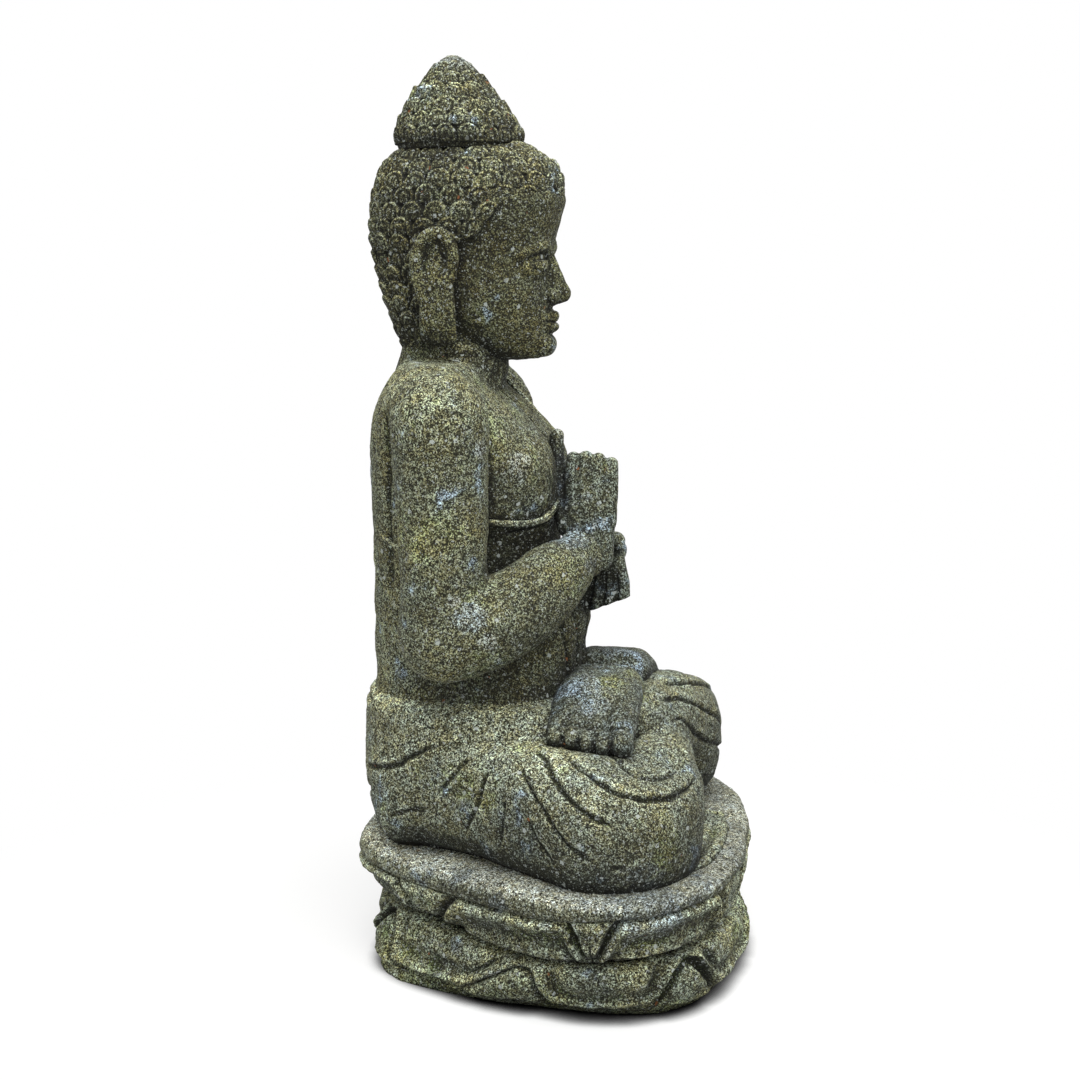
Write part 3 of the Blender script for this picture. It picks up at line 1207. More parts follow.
@dataclass(frozen=True)
class Arms:
    """The arms, and the hands in the teaching gesture: the right one raised, the left one lowered."""
    arm_x: float = 146.0
    shoulder_z: float = 668.0
    shoulder_r: float = 52.0
    elbow_r: float = 47.0
    wrist_r: float = 27.0
    fingertip_z: float = 572.0

    def upper(self, side: int) -> Limb:
        """An upper arm, from the shoulder to the elbow: the right one for -1, the left one for 1."""
        x, r = self.arm_x, self.shoulder_r
        return Limb((
            (side * (x - 4), 104, self.shoulder_z - 58, r), (side * x, 102, 560, r - 2),
            (side * (x + 2), 100, 500, 48), (side * (x + 4), 99, 440, 46),
            (side * (x + 2), 98, 382, self.elbow_r)), 56, 10)

    def fore(self, side: int) -> Limb:
        """A forearm, from the elbow to the wrist: for -1 the right one, which rises, for 1 the left one."""
        x, r, wrist = self.arm_x, self.elbow_r, self.wrist_r
        if side < 0:
            return Limb((
                (-x - 2, 98, 383, r - 1), (-x + 4, 62, 390, r), (-118, 20, 412, r - 3), (-82, -10, 438, 38),
                (-54, -29, 454, wrist)), 48, 12)
        return Limb((
            (x + 2, 98, 383, r - 1), (x - 4, 60, 388, r), (116, 16, 402, r - 9), (80, -20, 422, 32),
            (50, -38, 436, wrist)), 48, 12)

    def right_hand(self) -> tuple[Limb, ...]:
        """The raised right hand, its palm to the left: three forms of the palm, four fingers side by side, and
        the thumb by the chest."""
        tip = self.fingertip_z
        palm = tuple(
            Limb(((-42, low, 456, 17), (-39, middle, 480, 14.5), (-35, high, 508, 11.5)), 28, 5)
            for low, middle, high in ((-32, -28, -25), (-42, -42, -40), (-52, -55, -57)))
        fingers = tuple(
            Limb(((-38, -22 - 13.3 * i, 494, 9.6), (-33.5, -22 - 13.6 * i, 526, 9.4),
                  (-31, -21.5 - 13.9 * i, tip - 24 + length, 9.0),
                  (-27.5, -21.5 - 14 * i, tip - 10 + length, 8.0)), 24, 6)
            for i, length in enumerate((0.0, 1.0, -1.5, -6.0)))
        thumb = Limb((
            (-38, -18, 486, 12), (-28, -8, 512, 10.5), (-21, -3, 546, 9.5), (-19, -1, 574, 9.2),
            (-20, -2, 586, 8.2)), 24, 7)
        return (*palm, *fingers, thumb)

    def left_hand(self) -> tuple[Limb, ...]:
        """The lowered left hand, its palm to the body: two forms of the palm, four hanging fingers, and the
        thumb that meets the right hand."""
        palm = (Limb(((50, -44, 432, 22), (34, -54, 446, 18.5), (14, -58, 456, 15.5)), 28, 6),
                Limb(((46, -48, 440, 18), (30, -60, 452, 15), (8, -64, 452, 13)), 28, 6))
        fingers = tuple(
            Limb(((8 - 5 * i, -36 - 10.5 * i, 452, 9.2), (1 - 5 * i, -35 - 12.5 * i, 434, 8.9),
                  (-4 - 3.5 * i, -32 - 14.6 * i, 412 + 3 * i, 8.7),
                  (-6.5 - 3 * i, -30 - 15.4 * i, 388 + 6.3 * i, 8.7)), 24, 6)
            for i in range(4))
        thumb = Limb((
            (16, -58, 462, 11.5), (2, -66, 468, 9.5), (-8, -70, 468, 8), (-14, -71, 464, 6.8)), 24, 6)
        return (*palm, *fingers, thumb)

    def parted(self, hand: Carving) -> Carving:
        """Cuts the gaps between the left hand's fingers, and ends them on a slope over the right hand."""
        for i in range(3):
            path = ((-24 - 3 * i, -42 - 12 * i, 436), (-18 - 3 * i, -39 - 14.4 * i, 418),
                    (-16 - 3 * i, -38 - 15.2 * i, 402), (-14 - 3 * i, -37.5 - 15.6 * i, 388))
            hand.crease(Cut(path, 3.2, 2.2))
        tips = 392 - 0.41 * (48 + hand.points[:, 1])
        hand.points[:, 2] = np.maximum(hand.points[:, 2], tips)
        return hand

    def build(self, torso: Form) -> list[Piece]:
        """All six pieces.

        Args:
            torso: the trunk that the arms grow out of.

        Returns:
            The pieces.
        """
        pieces = []
        hands = {-1: self.right_hand(), 1: self.left_hand()}
        for side, name in ((-1, "Right"), (1, "Left")):
            arm, forearm = self.upper(side), self.fore(side)
            upper = carved(f"{name}UpperArm", [arm], [forearm], blend=16).fillet([arm, torso], 26, 612)
            upper.bump((side * 196, 100, 604), (40, 44, 52), 4.0)
            upper.bump((side * 196, 80, 500), (40, 40, 60), 2.5)
            if side > 0:
                upper.bump((124, 58, 644), (44, 26, 32), -11.0)
            fore = carved(f"{name}Forearm", [forearm], [arm, *hands[side][:3]], blend=16)
            others = [forearm, *(hands[-side] if side > 0 else ())]
            hand = carved(f"{name}Hand", hands[side], others, voxel=1.5, blend=3.5, rounds=2)
            if side > 0:
                self.parted(hand)
            node = name.lower()
            pieces += [
                Piece(f"{name}UpperArm", f"{node}_upper_arm", Slot.BODY, upper.weather(0.95)),
                Piece(f"{name}Forearm", f"{node}_forearm", Slot.BODY, fore.weather(0.95)),
                Piece(f"{name}Hand", f"{node}_hand", Slot.HAND, hand.weather(0.4))]
        return pieces


# ---- head

@dataclass(frozen=True)
class Head:
    """The head and ears. The face is an ideal one on equal thirds: hairline to brow, brow to the foot of
    the nose, and from there to the chin. Its eyes are lowered in thought. All numbers are heights, but for
    front."""
    chin: float = 670.0
    nose: float = 730.0
    brow: float = 790.0
    ear_top: float = 814.0
    crown: float = 910.0
    front: float = 2.0
    ear_height: float = 132.0

    def skull(self) -> Stack:
        """The head without its features."""
        c, y, brow, nose, top = self.chin, self.front, self.brow, self.nose, self.crown
        return Stack((
            (c - 1, 12, y + 40, 84, 1), (c + 2, 26, y + 22, 100, 1), (c + 12, 42, y + 12, 124, 0.95),
            (c + 34, 58, y + 8, 150, 0.92), (nose + 6, 68, y + 7, 172, 0.92),
            (brow - 22, 74, y + 9, 188, 0.92), (brow, 77, y + 5, 196, 0.92), (brow + 34, 83, y - 5, 200, 0.92),
            (brow + 62, 82.5, y - 7, 196, 0.92), (top - 34, 62, y + 30, 178, 0.95),
            (top - 16, 36, y + 60, 150, 1)))

    def features(self) -> tuple[Limb, ...]:
        """The forms that grow out of the skull: the nose's ridge and body, the lower lip and the chin, and on
        either side the nostril, the brow, the lid and half the upper lip."""
        y, brow, nose = self.front, self.brow, self.nose
        forms = [
            Limb(((0, y + 12, brow - 2, 7), (0, y + 4, brow - 20, 7), (0, y - 3, brow - 38, 8),
                  (0, y - 7, nose + 12, 9.5)), 28, 8),
            Limb(((0, y + 16, brow - 6, 9), (0, y + 11, brow - 24, 11), (0, y + 8, brow - 40, 13),
                  (0, y + 8, nose + 11, 13)), 28, 8),
            Limb(((-12, y + 8, nose - 22, 5.6), (0, y + 4, nose - 24.5, 6.6), (12, y + 8, nose - 22, 5.6)),
                 24, 6),
            Limb(((-8, y + 15, self.chin + 16, 14), (8, y + 15, self.chin + 16, 14)), 32, 5)]
        pair = (
            Limb(((-7, y + 1, nose + 9, 7), (-13, y + 3, nose + 9, 6.4)), 24, 5),
            Limb(((-9, y + 9, brow - 3, 4.6), (-26, y + 8, brow + 4, 4.8), (-42, y + 16, brow + 2, 4.6),
                  (-56, y + 30, brow - 7, 4.0)), 24, 8),
            Limb(((-17, y + 17, brow - 19, 8.5), (-30, y + 16, brow - 18, 11), (-44, y + 24, brow - 19, 8)),
                 28, 8),
            Limb(((-3.5, y + 3.5, nose - 13, 5.2), (-12, y + 8, nose - 14, 4.6),
                  (-20, y + 14, nose - 15, 3.4)), 24, 7))
        return (*forms, *pair, *mirrored_limbs(pair))

    def ear(self, side: int) -> tuple[Limb, ...]:
        """An ear with a rolled rim and a long hanging lobe: the right one for -1, the left one for 1."""
        top, x = self.ear_top, side * 84.0
        rim = Limb((
            (x * 0.96, 104, top - 52, 6.5), (x, 101, top - 34, 7), (x * 1.02, 105, top - 16, 7.5),
            (x * 1.03, 118, top - 8, 8), (x * 1.03, 132, top - 16, 8), (x * 1.02, 139, top - 34, 8),
            (x, 138, top - 54, 8), (x * 0.98, 134, top - 72, 8)), 24, 8)
        inner = Limb((
            (x * 0.95, 119, top - 22, 10), (x * 0.935, 121, top - 44, 12),
            (x * 0.93, 122, top - 66, 12)), 24, 6)
        end = top - self.ear_height
        lobe = tuple(
            Limb(((x * 0.99, y, top - 56, r), (x * 0.96, y - 1, top - 84, r + 1),
                  (x * 0.92, y - 1, top - 106, r + 1.5), (x * 0.87, y - 1, end + 13 + lift, r + 1.5)), 28, 8)
            for y, r, lift in ((108, 6.5, 0), (119, 7.5, -1), (131, 7.5, 3)))
        return rim, inner, *lobe

    def carve_face(self, skin: Carving) -> Carving:
        """Cuts the head's lids, nostrils and lips: lowered eyes and a closed mouth."""
        y, brow, nose = self.front, self.brow, self.nose
        for k in (-1, 1):
            lower_lid = ((k * 13, y + 6, brow - 22), (k * 26, y + 3, brow - 26.5), (k * 38, y + 8, brow - 25.5),
                         (k * 50, y + 18, brow - 20))
            upper_lid = ((k * 13, y + 8, brow - 12), (k * 28, y + 4, brow - 8), (k * 42, y + 11, brow - 9),
                         (k * 54, y + 22, brow - 15))
            wing = ((k * 17, y + 4, nose + 16), (k * 20, y + 6, nose + 8), (k * 17, y + 6, nose + 2))
            skin.crease(Cut(lower_lid, 3.2, 1.5)).crease(Cut(upper_lid, 2.2, 1.8)).crease(Cut(wing, 1.6, 1.8))
            skin.bump((k * 42, y + 18, nose + 22), (20, 30, 20), 3.0)
            skin.bump((k * 7, y - 2, nose + 2), (4.0, 8, 3.0), -2.4)
        mouth = ((-21, y + 12, nose - 17.5), (-10, y + 2, nose - 18.5), (0, y - 2, nose - 19.5),
                 (10, y + 2, nose - 18.5), (21, y + 12, nose - 17.5))
        skin.crease(Cut(mouth, 3.4, 1.6)).crease(Cut(((0, y - 2, nose - 1), (0, y, nose - 9)), 1.2, 2.4))
        return skin.bump((0, y + 2, nose - 33), (14, 20, 4), -1.6).weather(0.6)

    def carve_ear(self, skin: Carving, side: int) -> Carving:
        """Hollows an ear and splits its lobe: the right one for -1, the left one for 1."""
        top = self.ear_top
        skin.bump((side * 95, 119, top - 38), (14, 10, 17), -3.5)
        skin.bump((side * 92, 122, top - 70), (12, 6, 7), -3.0)
        split = ((side * 92, 118, top - 84), (side * 88, 118, top - 104), (side * 84, 119, top - 122))
        return skin.crease(Cut(split, 1.6, 3.0)).weather(0.55)

    def build(self, neck: Form) -> list[Piece]:
        """The head and both ears.

        Args:
            neck: the neck that carries them.

        Returns:
            The pieces.
        """
        forms = [self.skull(), *self.features()]
        head = carved("Head", forms, [neck], voxel=1.7, blend=9, rounds=3)
        pieces = [Piece("Head", "head", Slot.FACE, self.carve_face(head))]
        for side, name in ((-1, "Right"), (1, "Left")):
            ear = carved(f"{name}Ear", self.ear(side), voxel=1.4, blend=6, rounds=3)
            pieces.append(Piece(f"{name}Ear", f"{name.lower()}_ear", Slot.FACE, self.carve_ear(ear, side)))
        return pieces


# ---- hair

@dataclass(frozen=True)
class Curls:
    """Rows of worn shell-like curls, staggered from row to row.

    A curl is an arch: with d the distance from its middle as a share of its radius, only sideways below
    it, it stands height * (1 - d^8) at its upper edge and 0.45 of that at its foot, with a ring cut at 0.6
    and a dimple in the middle. A lower curl lies over the one above. width and rise are how far apart curls
    and rows are, and ring is the ring's depth; all are millimetres.
    """
    width: float
    rise: float
    height: float
    ring: float = 1.3

    def relief(self, angle: Array, climb: Array, girth: Array) -> Array:
        """Height of the curls.

        Args:
            angle: direction round the head, in radians.
            climb: distance along the surface from its foot, in millimetres.
            girth: circumference of the head there.

        Returns:
            Millimetres outward, about zero in the gaps.
        """
        row = climb / self.rise
        rows = int(np.ceil(row.max())) + 2
        counts = np.full(rows, 5)
        for k in range(rows):
            level = np.abs(row - k) < 0.6
            if np.any(level):
                counts[k] = max(5, round(float(np.median(girth[level])) / self.width))
        found = np.zeros(row.shape, bool)
        out = np.full(row.shape, -0.35 * self.height)
        for below in (1, 0):
            k = np.clip(np.floor(row).astype(int) - below, 0, rows - 1)
            count = counts[k]
            wobble = 0.22 * lattice(np.stack([k.ravel(), k.ravel() * 7], -1), 5).reshape(k.shape)
            turn = angle / (2 * np.pi) * count + 0.5 * (k % 2) + wobble
            curl = np.stack([k.ravel(), (np.round(turn) % count).ravel()], -1)
            sideways = (turn - np.round(turn)) * girth / count
            upward = (row - k) * self.rise - 0.42 * self.rise
            radius = 0.5 * self.width * (1.0 + 0.1 * lattice(curl, 9).reshape(k.shape))
            d = np.hypot(sideways, np.maximum(upward, 0) * 1.02) / radius
            wear = 0.72 + 0.42 * lattice(curl, 3).reshape(k.shape)
            slope = 0.45 + 0.55 * ease(-0.5, 0.6, upward / self.rise)
            arch = self.height * wear * (1 - np.clip(d, 0, 1) ** 8) * slope
            arch = arch - self.ring * bell(d - 0.6, 0.13) - 0.5 * self.ring * bell(d, 0.2)
            arch = arch - 0.7 * ease(0.7, 0.5, d)
            inside = (d < 1) & ~found & (upward > -0.62 * self.rise)
            out = np.where(inside, arch, out)
            found |= inside
        return out


@dataclass(frozen=True)
class Hair:
    """The cap of curls, and the pointed topknot.

    face_edge is the hairline: rows of how far back, and how high over the chin. Behind ears_end the hair
    hangs down to the neck. knot_shape is rows of height, in shares of the topknot's, and radius, in shares
    of its foot's.
    """
    chin: float = 670.0
    crown: float = 910.0
    top: float = 1000.0
    half: float = 90.0
    back: float = 210.0
    knot_radius: float = 75.0
    knot_y: float = 111.0
    lean: float = 7.5
    cap_curls: Curls = Curls(28.5, 17.0, 5.6, 2.0)
    knot_curls: Curls = Curls(25.0, 17.0, 5.4, 1.9)
    face_edge: tuple[Row, ...] = (
        (-30, 166), (-8, 168), (17, 180), (44, 172), (60, 152), (74, 134), (98, 125), (134, 130))
    ears_end: float = 152.0
    knot_shape: tuple[Row, ...] = (
        (0, 1.0), (0.23, 0.91), (0.47, 0.73), (0.71, 0.525), (0.89, 0.30), (1, 0.05))

    def cap_stack(self) -> Stack:
        """The hair without curls, and with the space of the face filled."""
        c, brow, b, half, top = self.chin, self.chin + 120, self.back, self.half, self.crown
        return Stack((
            (c + 4, 56, 66, b - 38, 0.95), (c + 14, 58, 60, b - 34, 0.95), (c + 42, 68, 40, b - 22, 0.95),
            (c + 86, 80, 10, b - 9, 0.92), (brow + 10, half - 3, 0, b, 0.9), (brow + 44, half - 2, -6, b, 0.9),
            (top - 45, half - 6, -5, b - 4, 0.9), (top - 22, half - 20, 8, b - 18, 0.92),
            (top - 6, half - 40, 36, b - 44, 0.95), (top, 32, 66, b - 76, 1)), 450, 14)

    def knot_stack(self) -> Stack:
        """The topknot without curls, from a root inside the head to a point that leans back."""
        rise, r = self.top - self.crown, self.knot_radius
        rows = []
        for up, share in ((-16, 0.94), *((level * rise, share) for level, share in self.knot_shape)):
            y = self.knot_y + self.lean * max(up, 0) / rise
            rows.append((self.crown + up, 0.97 * r * share, y - r * share, y + r * share, 1.0))
        return Stack(tuple(rows), 520, 12)

    @staticmethod
    def spread(form: Stack, spacing: float) -> tuple[Array, Array, Array, Array]:
        """The form's grid with even rings.

        Args:
            form: the stack.
            spacing: distance from ring to ring along the back.

        Returns:
            Points, and at each of them the angle, the climb along the back, and the girth.
        """
        rows = smooth_rows(form.rows, 30)
        step = np.hypot(np.diff(rows[:, 0]), np.diff(rows[:, 3]))
        climb = np.concatenate([[0], np.cumsum(step)])
        even = np.arange(0, climb[-1], spacing)
        rows = np.stack([np.interp(even, climb, rows[:, k]) for k in range(5)], axis=-1)
        points = oval_rings(rows, form.around)
        arc = np.linalg.norm(np.roll(points, -1, 1) - points, axis=2)
        girth = arc.sum(axis=1, keepdims=True)
        around = (np.cumsum(arc, axis=1) - arc) / girth * 2 * np.pi
        shape = points.shape[:2]
        return points, around, np.broadcast_to(even[:, None], shape), np.broadcast_to(girth, shape)

    def face_gap(self, p: Array) -> Array:
        """How far points are inside the space for the face: under the hairline and before the ears' end."""
        hairline = self.chin + np.interp(p[..., 1], *zip(*self.face_edge), right=-80.0)
        return np.minimum(hairline - p[..., 2], self.ears_end - p[..., 1])

    @staticmethod
    def with_poles(values: Array) -> Array:
        """A grid's numbers, and 0 for each of its mesh's two poles."""
        return np.append(values.ravel(), (0.0, 0.0))

    def cap(self) -> Carving:
        """The cap: curls on the hair, worn to streaks at the nape, and a clean hairline, inside which the
        surface sinks into the head."""
        points, angle, climb, girth = self.spread(self.cap_stack(), 1.5)
        gap = self.face_gap(points)
        low = ease(60, 20, climb)
        streaks = 1.2 * np.sin(angle * 26 + 2.0 * np.sin(climb / 13.0)) * low
        relief = self.cap_curls.relief(angle, climb, girth) * (1 - 0.3 * low) + streaks - 1.4
        skin = Carving(closed_mesh("HairCap", [points]))
        skin.push(self.with_poles(relief * ease(6, -5, gap) - 1.0))
        sink = self.with_poles(ease(-2.5, 3.5, gap))
        axis = np.stack([np.zeros(len(sink)), np.clip(skin.points[:, 1], 70, 130), skin.points[:, 2]], -1)
        skin.points += (axis - skin.points) * (0.36 * sink)[:, None]
        skin.refresh()
        return skin.weather(0.8)

    def knot(self) -> Carving:
        """The topknot: curls that fade towards its point."""
        points, angle, climb, girth = self.spread(self.knot_stack(), 1.3)
        curls = self.knot_curls.relief(angle, climb - 12, girth)
        fade = ease(self.top + 4, self.top - 22, points[..., 2])
        skin = Carving(closed_mesh("Topknot", [points]))
        return skin.push(self.with_poles(curls * (0.3 + 0.7 * fade) - 3.8 * fade)).weather(0.8)

    def build(self) -> list[Piece]:
        """Both pieces."""
        return [
            Piece("HairCap", "hair_cap", Slot.HAIR, self.cap()),
            Piece("Topknot", "topknot", Slot.HAIR, self.knot())]


# ---- shader maths

class Signal:
    """A socket in a node tree. Arithmetic on it adds Math nodes."""

    def __init__(self, graph: "Graph", socket: bpy.types.NodeSocket) -> None:
        """Wraps an output socket."""
        self.graph = graph
        self.socket = socket

    def maths(self, operation: str, first: "Signal | float", second: "Signal | float") -> "Signal":
        """One Math node."""
        return self.graph.node("ShaderNodeMath", {"operation": operation}, {0: first, 1: second})

    def __add__(self, other: "Signal | float") -> "Signal":
        """self + other."""
        return self.maths("ADD", self, other)

    def __sub__(self, other: "Signal | float") -> "Signal":
        """self - other."""
        return self.maths("SUBTRACT", self, other)

    def __rsub__(self, other: float) -> "Signal":
        """other - self."""
        return self.maths("SUBTRACT", other, self)

    def __mul__(self, other: "Signal | float") -> "Signal":
        """self * other."""
        return self.maths("MULTIPLY", self, other)

    def __rpow__(self, other: float) -> "Signal":
        """other to the power of self."""
        return self.maths("POWER", other, self)

    __radd__ = __add__
    __rmul__ = __mul__

    def above(self, low: float, high: float) -> "Signal":
        """0 below low, 1 above high, smooth between. low may be above high."""
        return self.graph.node(
            "ShaderNodeMapRange", {"interpolation_type": "SMOOTHSTEP"},
            {"Value": self, "From Min": low, "From Max": high, "To Min": 0.0, "To Max": 1.0})

    def most(self, other: "Signal | float") -> "Signal":
        """The greater of the two."""
        return self.maths("MAXIMUM", self, other)

    def least(self, other: "Signal | float") -> "Signal":
        """The lesser of the two."""
        return self.maths("MINIMUM", self, other)


Colour = tuple[float, float, float]


class Graph:
    """A material's or the world's node tree."""

    def __init__(self, tree: bpy.types.NodeTree) -> None:
        """Empties the tree."""
        self.tree = tree
        tree.nodes.clear()

    def node(self, kind: str, settings: dict, inputs: dict, output: int | str = 0) -> Signal:
        """Adds a node.

        Args:
            kind: the node's type.
            settings: its own properties, set first.
            inputs: values or links for its sockets, by name or number.
            output: the output that is returned.

        Returns:
            The output, or for a node without outputs an empty signal.
        """
        made = self.tree.nodes.new(kind)
        for name, value in settings.items():
            setattr(made, name, value)
        for name, value in inputs.items():
            if isinstance(value, Signal):
                self.tree.links.new(value.socket, made.inputs[name])
            else:
                made.inputs[name].default_value = value
        return Signal(self, made.outputs[output] if len(made.outputs) else None)

    def blend(self, share: Signal | float, low: Signal | Colour, high: Signal | Colour,
              mode: str = "MIX") -> Signal:
        """Mixes two colours by share, through one Mix node."""
        first, second = (colour if isinstance(colour, Signal) else (*colour, 1.0) for colour in (low, high))
        return self.node("ShaderNodeMix", {"data_type": "RGBA", "blend_type": mode},
                         {0: share, 6: first, 7: second}, 2)

    def moved(self, place: Signal, offset: Signal | Row) -> Signal:
        """A place plus an offset, through Vector Math."""
        return self.node("ShaderNodeVectorMath", {"operation": "ADD"}, {0: place, 1: offset})

    def part(self, vector: Signal, axis: int) -> Signal:
        """x, y or z of a vector, for axis 0, 1 or 2."""
        return self.node("ShaderNodeSeparateXYZ", {}, {0: vector}, axis)

    def tinted(self, colour: Signal | Colour, level: Signal | float) -> Signal:
        """A colour or another vector times a number, through Vector Math."""
        return self.node("ShaderNodeVectorMath", {"operation": "SCALE"}, {0: colour, 3: level})


class Grains:
    """The patterns that a material's stone is made of: numbers from 0 to 1, but for hollow and bloom, which
    reach from -1 to 1. A cell is a size in metres and a seed, and a cloud has a detail too."""
    jitter = 0.0012
    cells = ((0.0012, 0.0), (0.0020, 3.1), (0.0036, 7.7), (0.0014, 17.3))
    clouds = ((0.0010, 1.3, 2.0), (0.085, 5.2, 3.0), (0.050, 11.4, 4.0), (0.034, 21.0, 4.0),
              (0.013, 31.0, 3.0), (0.0042, 41.0, 2.0))
    stored = ("hollow", "seam", "shelter", "bloom")

    def __init__(self, graph: Graph) -> None:
        """Makes the nodes: cells with ragged edges, soft clouds, numbers stored with the mesh, and places."""
        self.graph = graph
        place = graph.node("ShaderNodeTexCoord", {}, {}, "Object")
        shake = graph.node("ShaderNodeTexNoise", {}, {"Vector": place, "Scale": 1000.0, "Detail": 2.0}, 1)
        ragged = graph.moved(place, graph.tinted(shake, self.jitter))
        self.grain, self.crumb, self.chip, self.spark = (
            self.cell(ragged, *numbers) for numbers in self.cells)
        self.grit, self.blotch, self.patch, self.wash, self.stain, self.rubbed = (
            self.cloud(place, *numbers) for numbers in self.clouds)
        self.hollow, self.seam, self.shelter, bloom = (
            graph.node("ShaderNodeAttribute", {"attribute_name": name}, {}, "Fac") for name in self.stored)
        self.bloom = bloom + (self.stain - 0.5) * 1.5
        self.upward = graph.part(graph.node("ShaderNodeNewGeometry", {}, {}, "Normal"), 2)
        self.back, self.height = graph.part(place, 1), graph.part(place, 2)

    def cell(self, place: Signal, size: float, seed: float) -> Signal:
        """A steady random number for every grain of about a size."""
        inputs = {"Vector": self.graph.moved(place, (seed, seed * 1.7, -seed)), "Scale": 1 / size}
        colour = self.graph.node("ShaderNodeTexVoronoi", {"feature": "F1"}, inputs, "Color")
        return self.graph.node("ShaderNodeSeparateColor", {}, {0: colour}, 0)

    def cloud(self, place: Signal, size: float, seed: float, detail: float) -> Signal:
        """Soft noise of about a size."""
        where = self.graph.moved(place, (seed, -seed, seed * 0.6))
        inputs = {"Vector": where, "Scale": 1 / size, "Detail": detail, "Roughness": 0.6}
        return self.graph.node("ShaderNodeTexNoise", {}, inputs, 0)


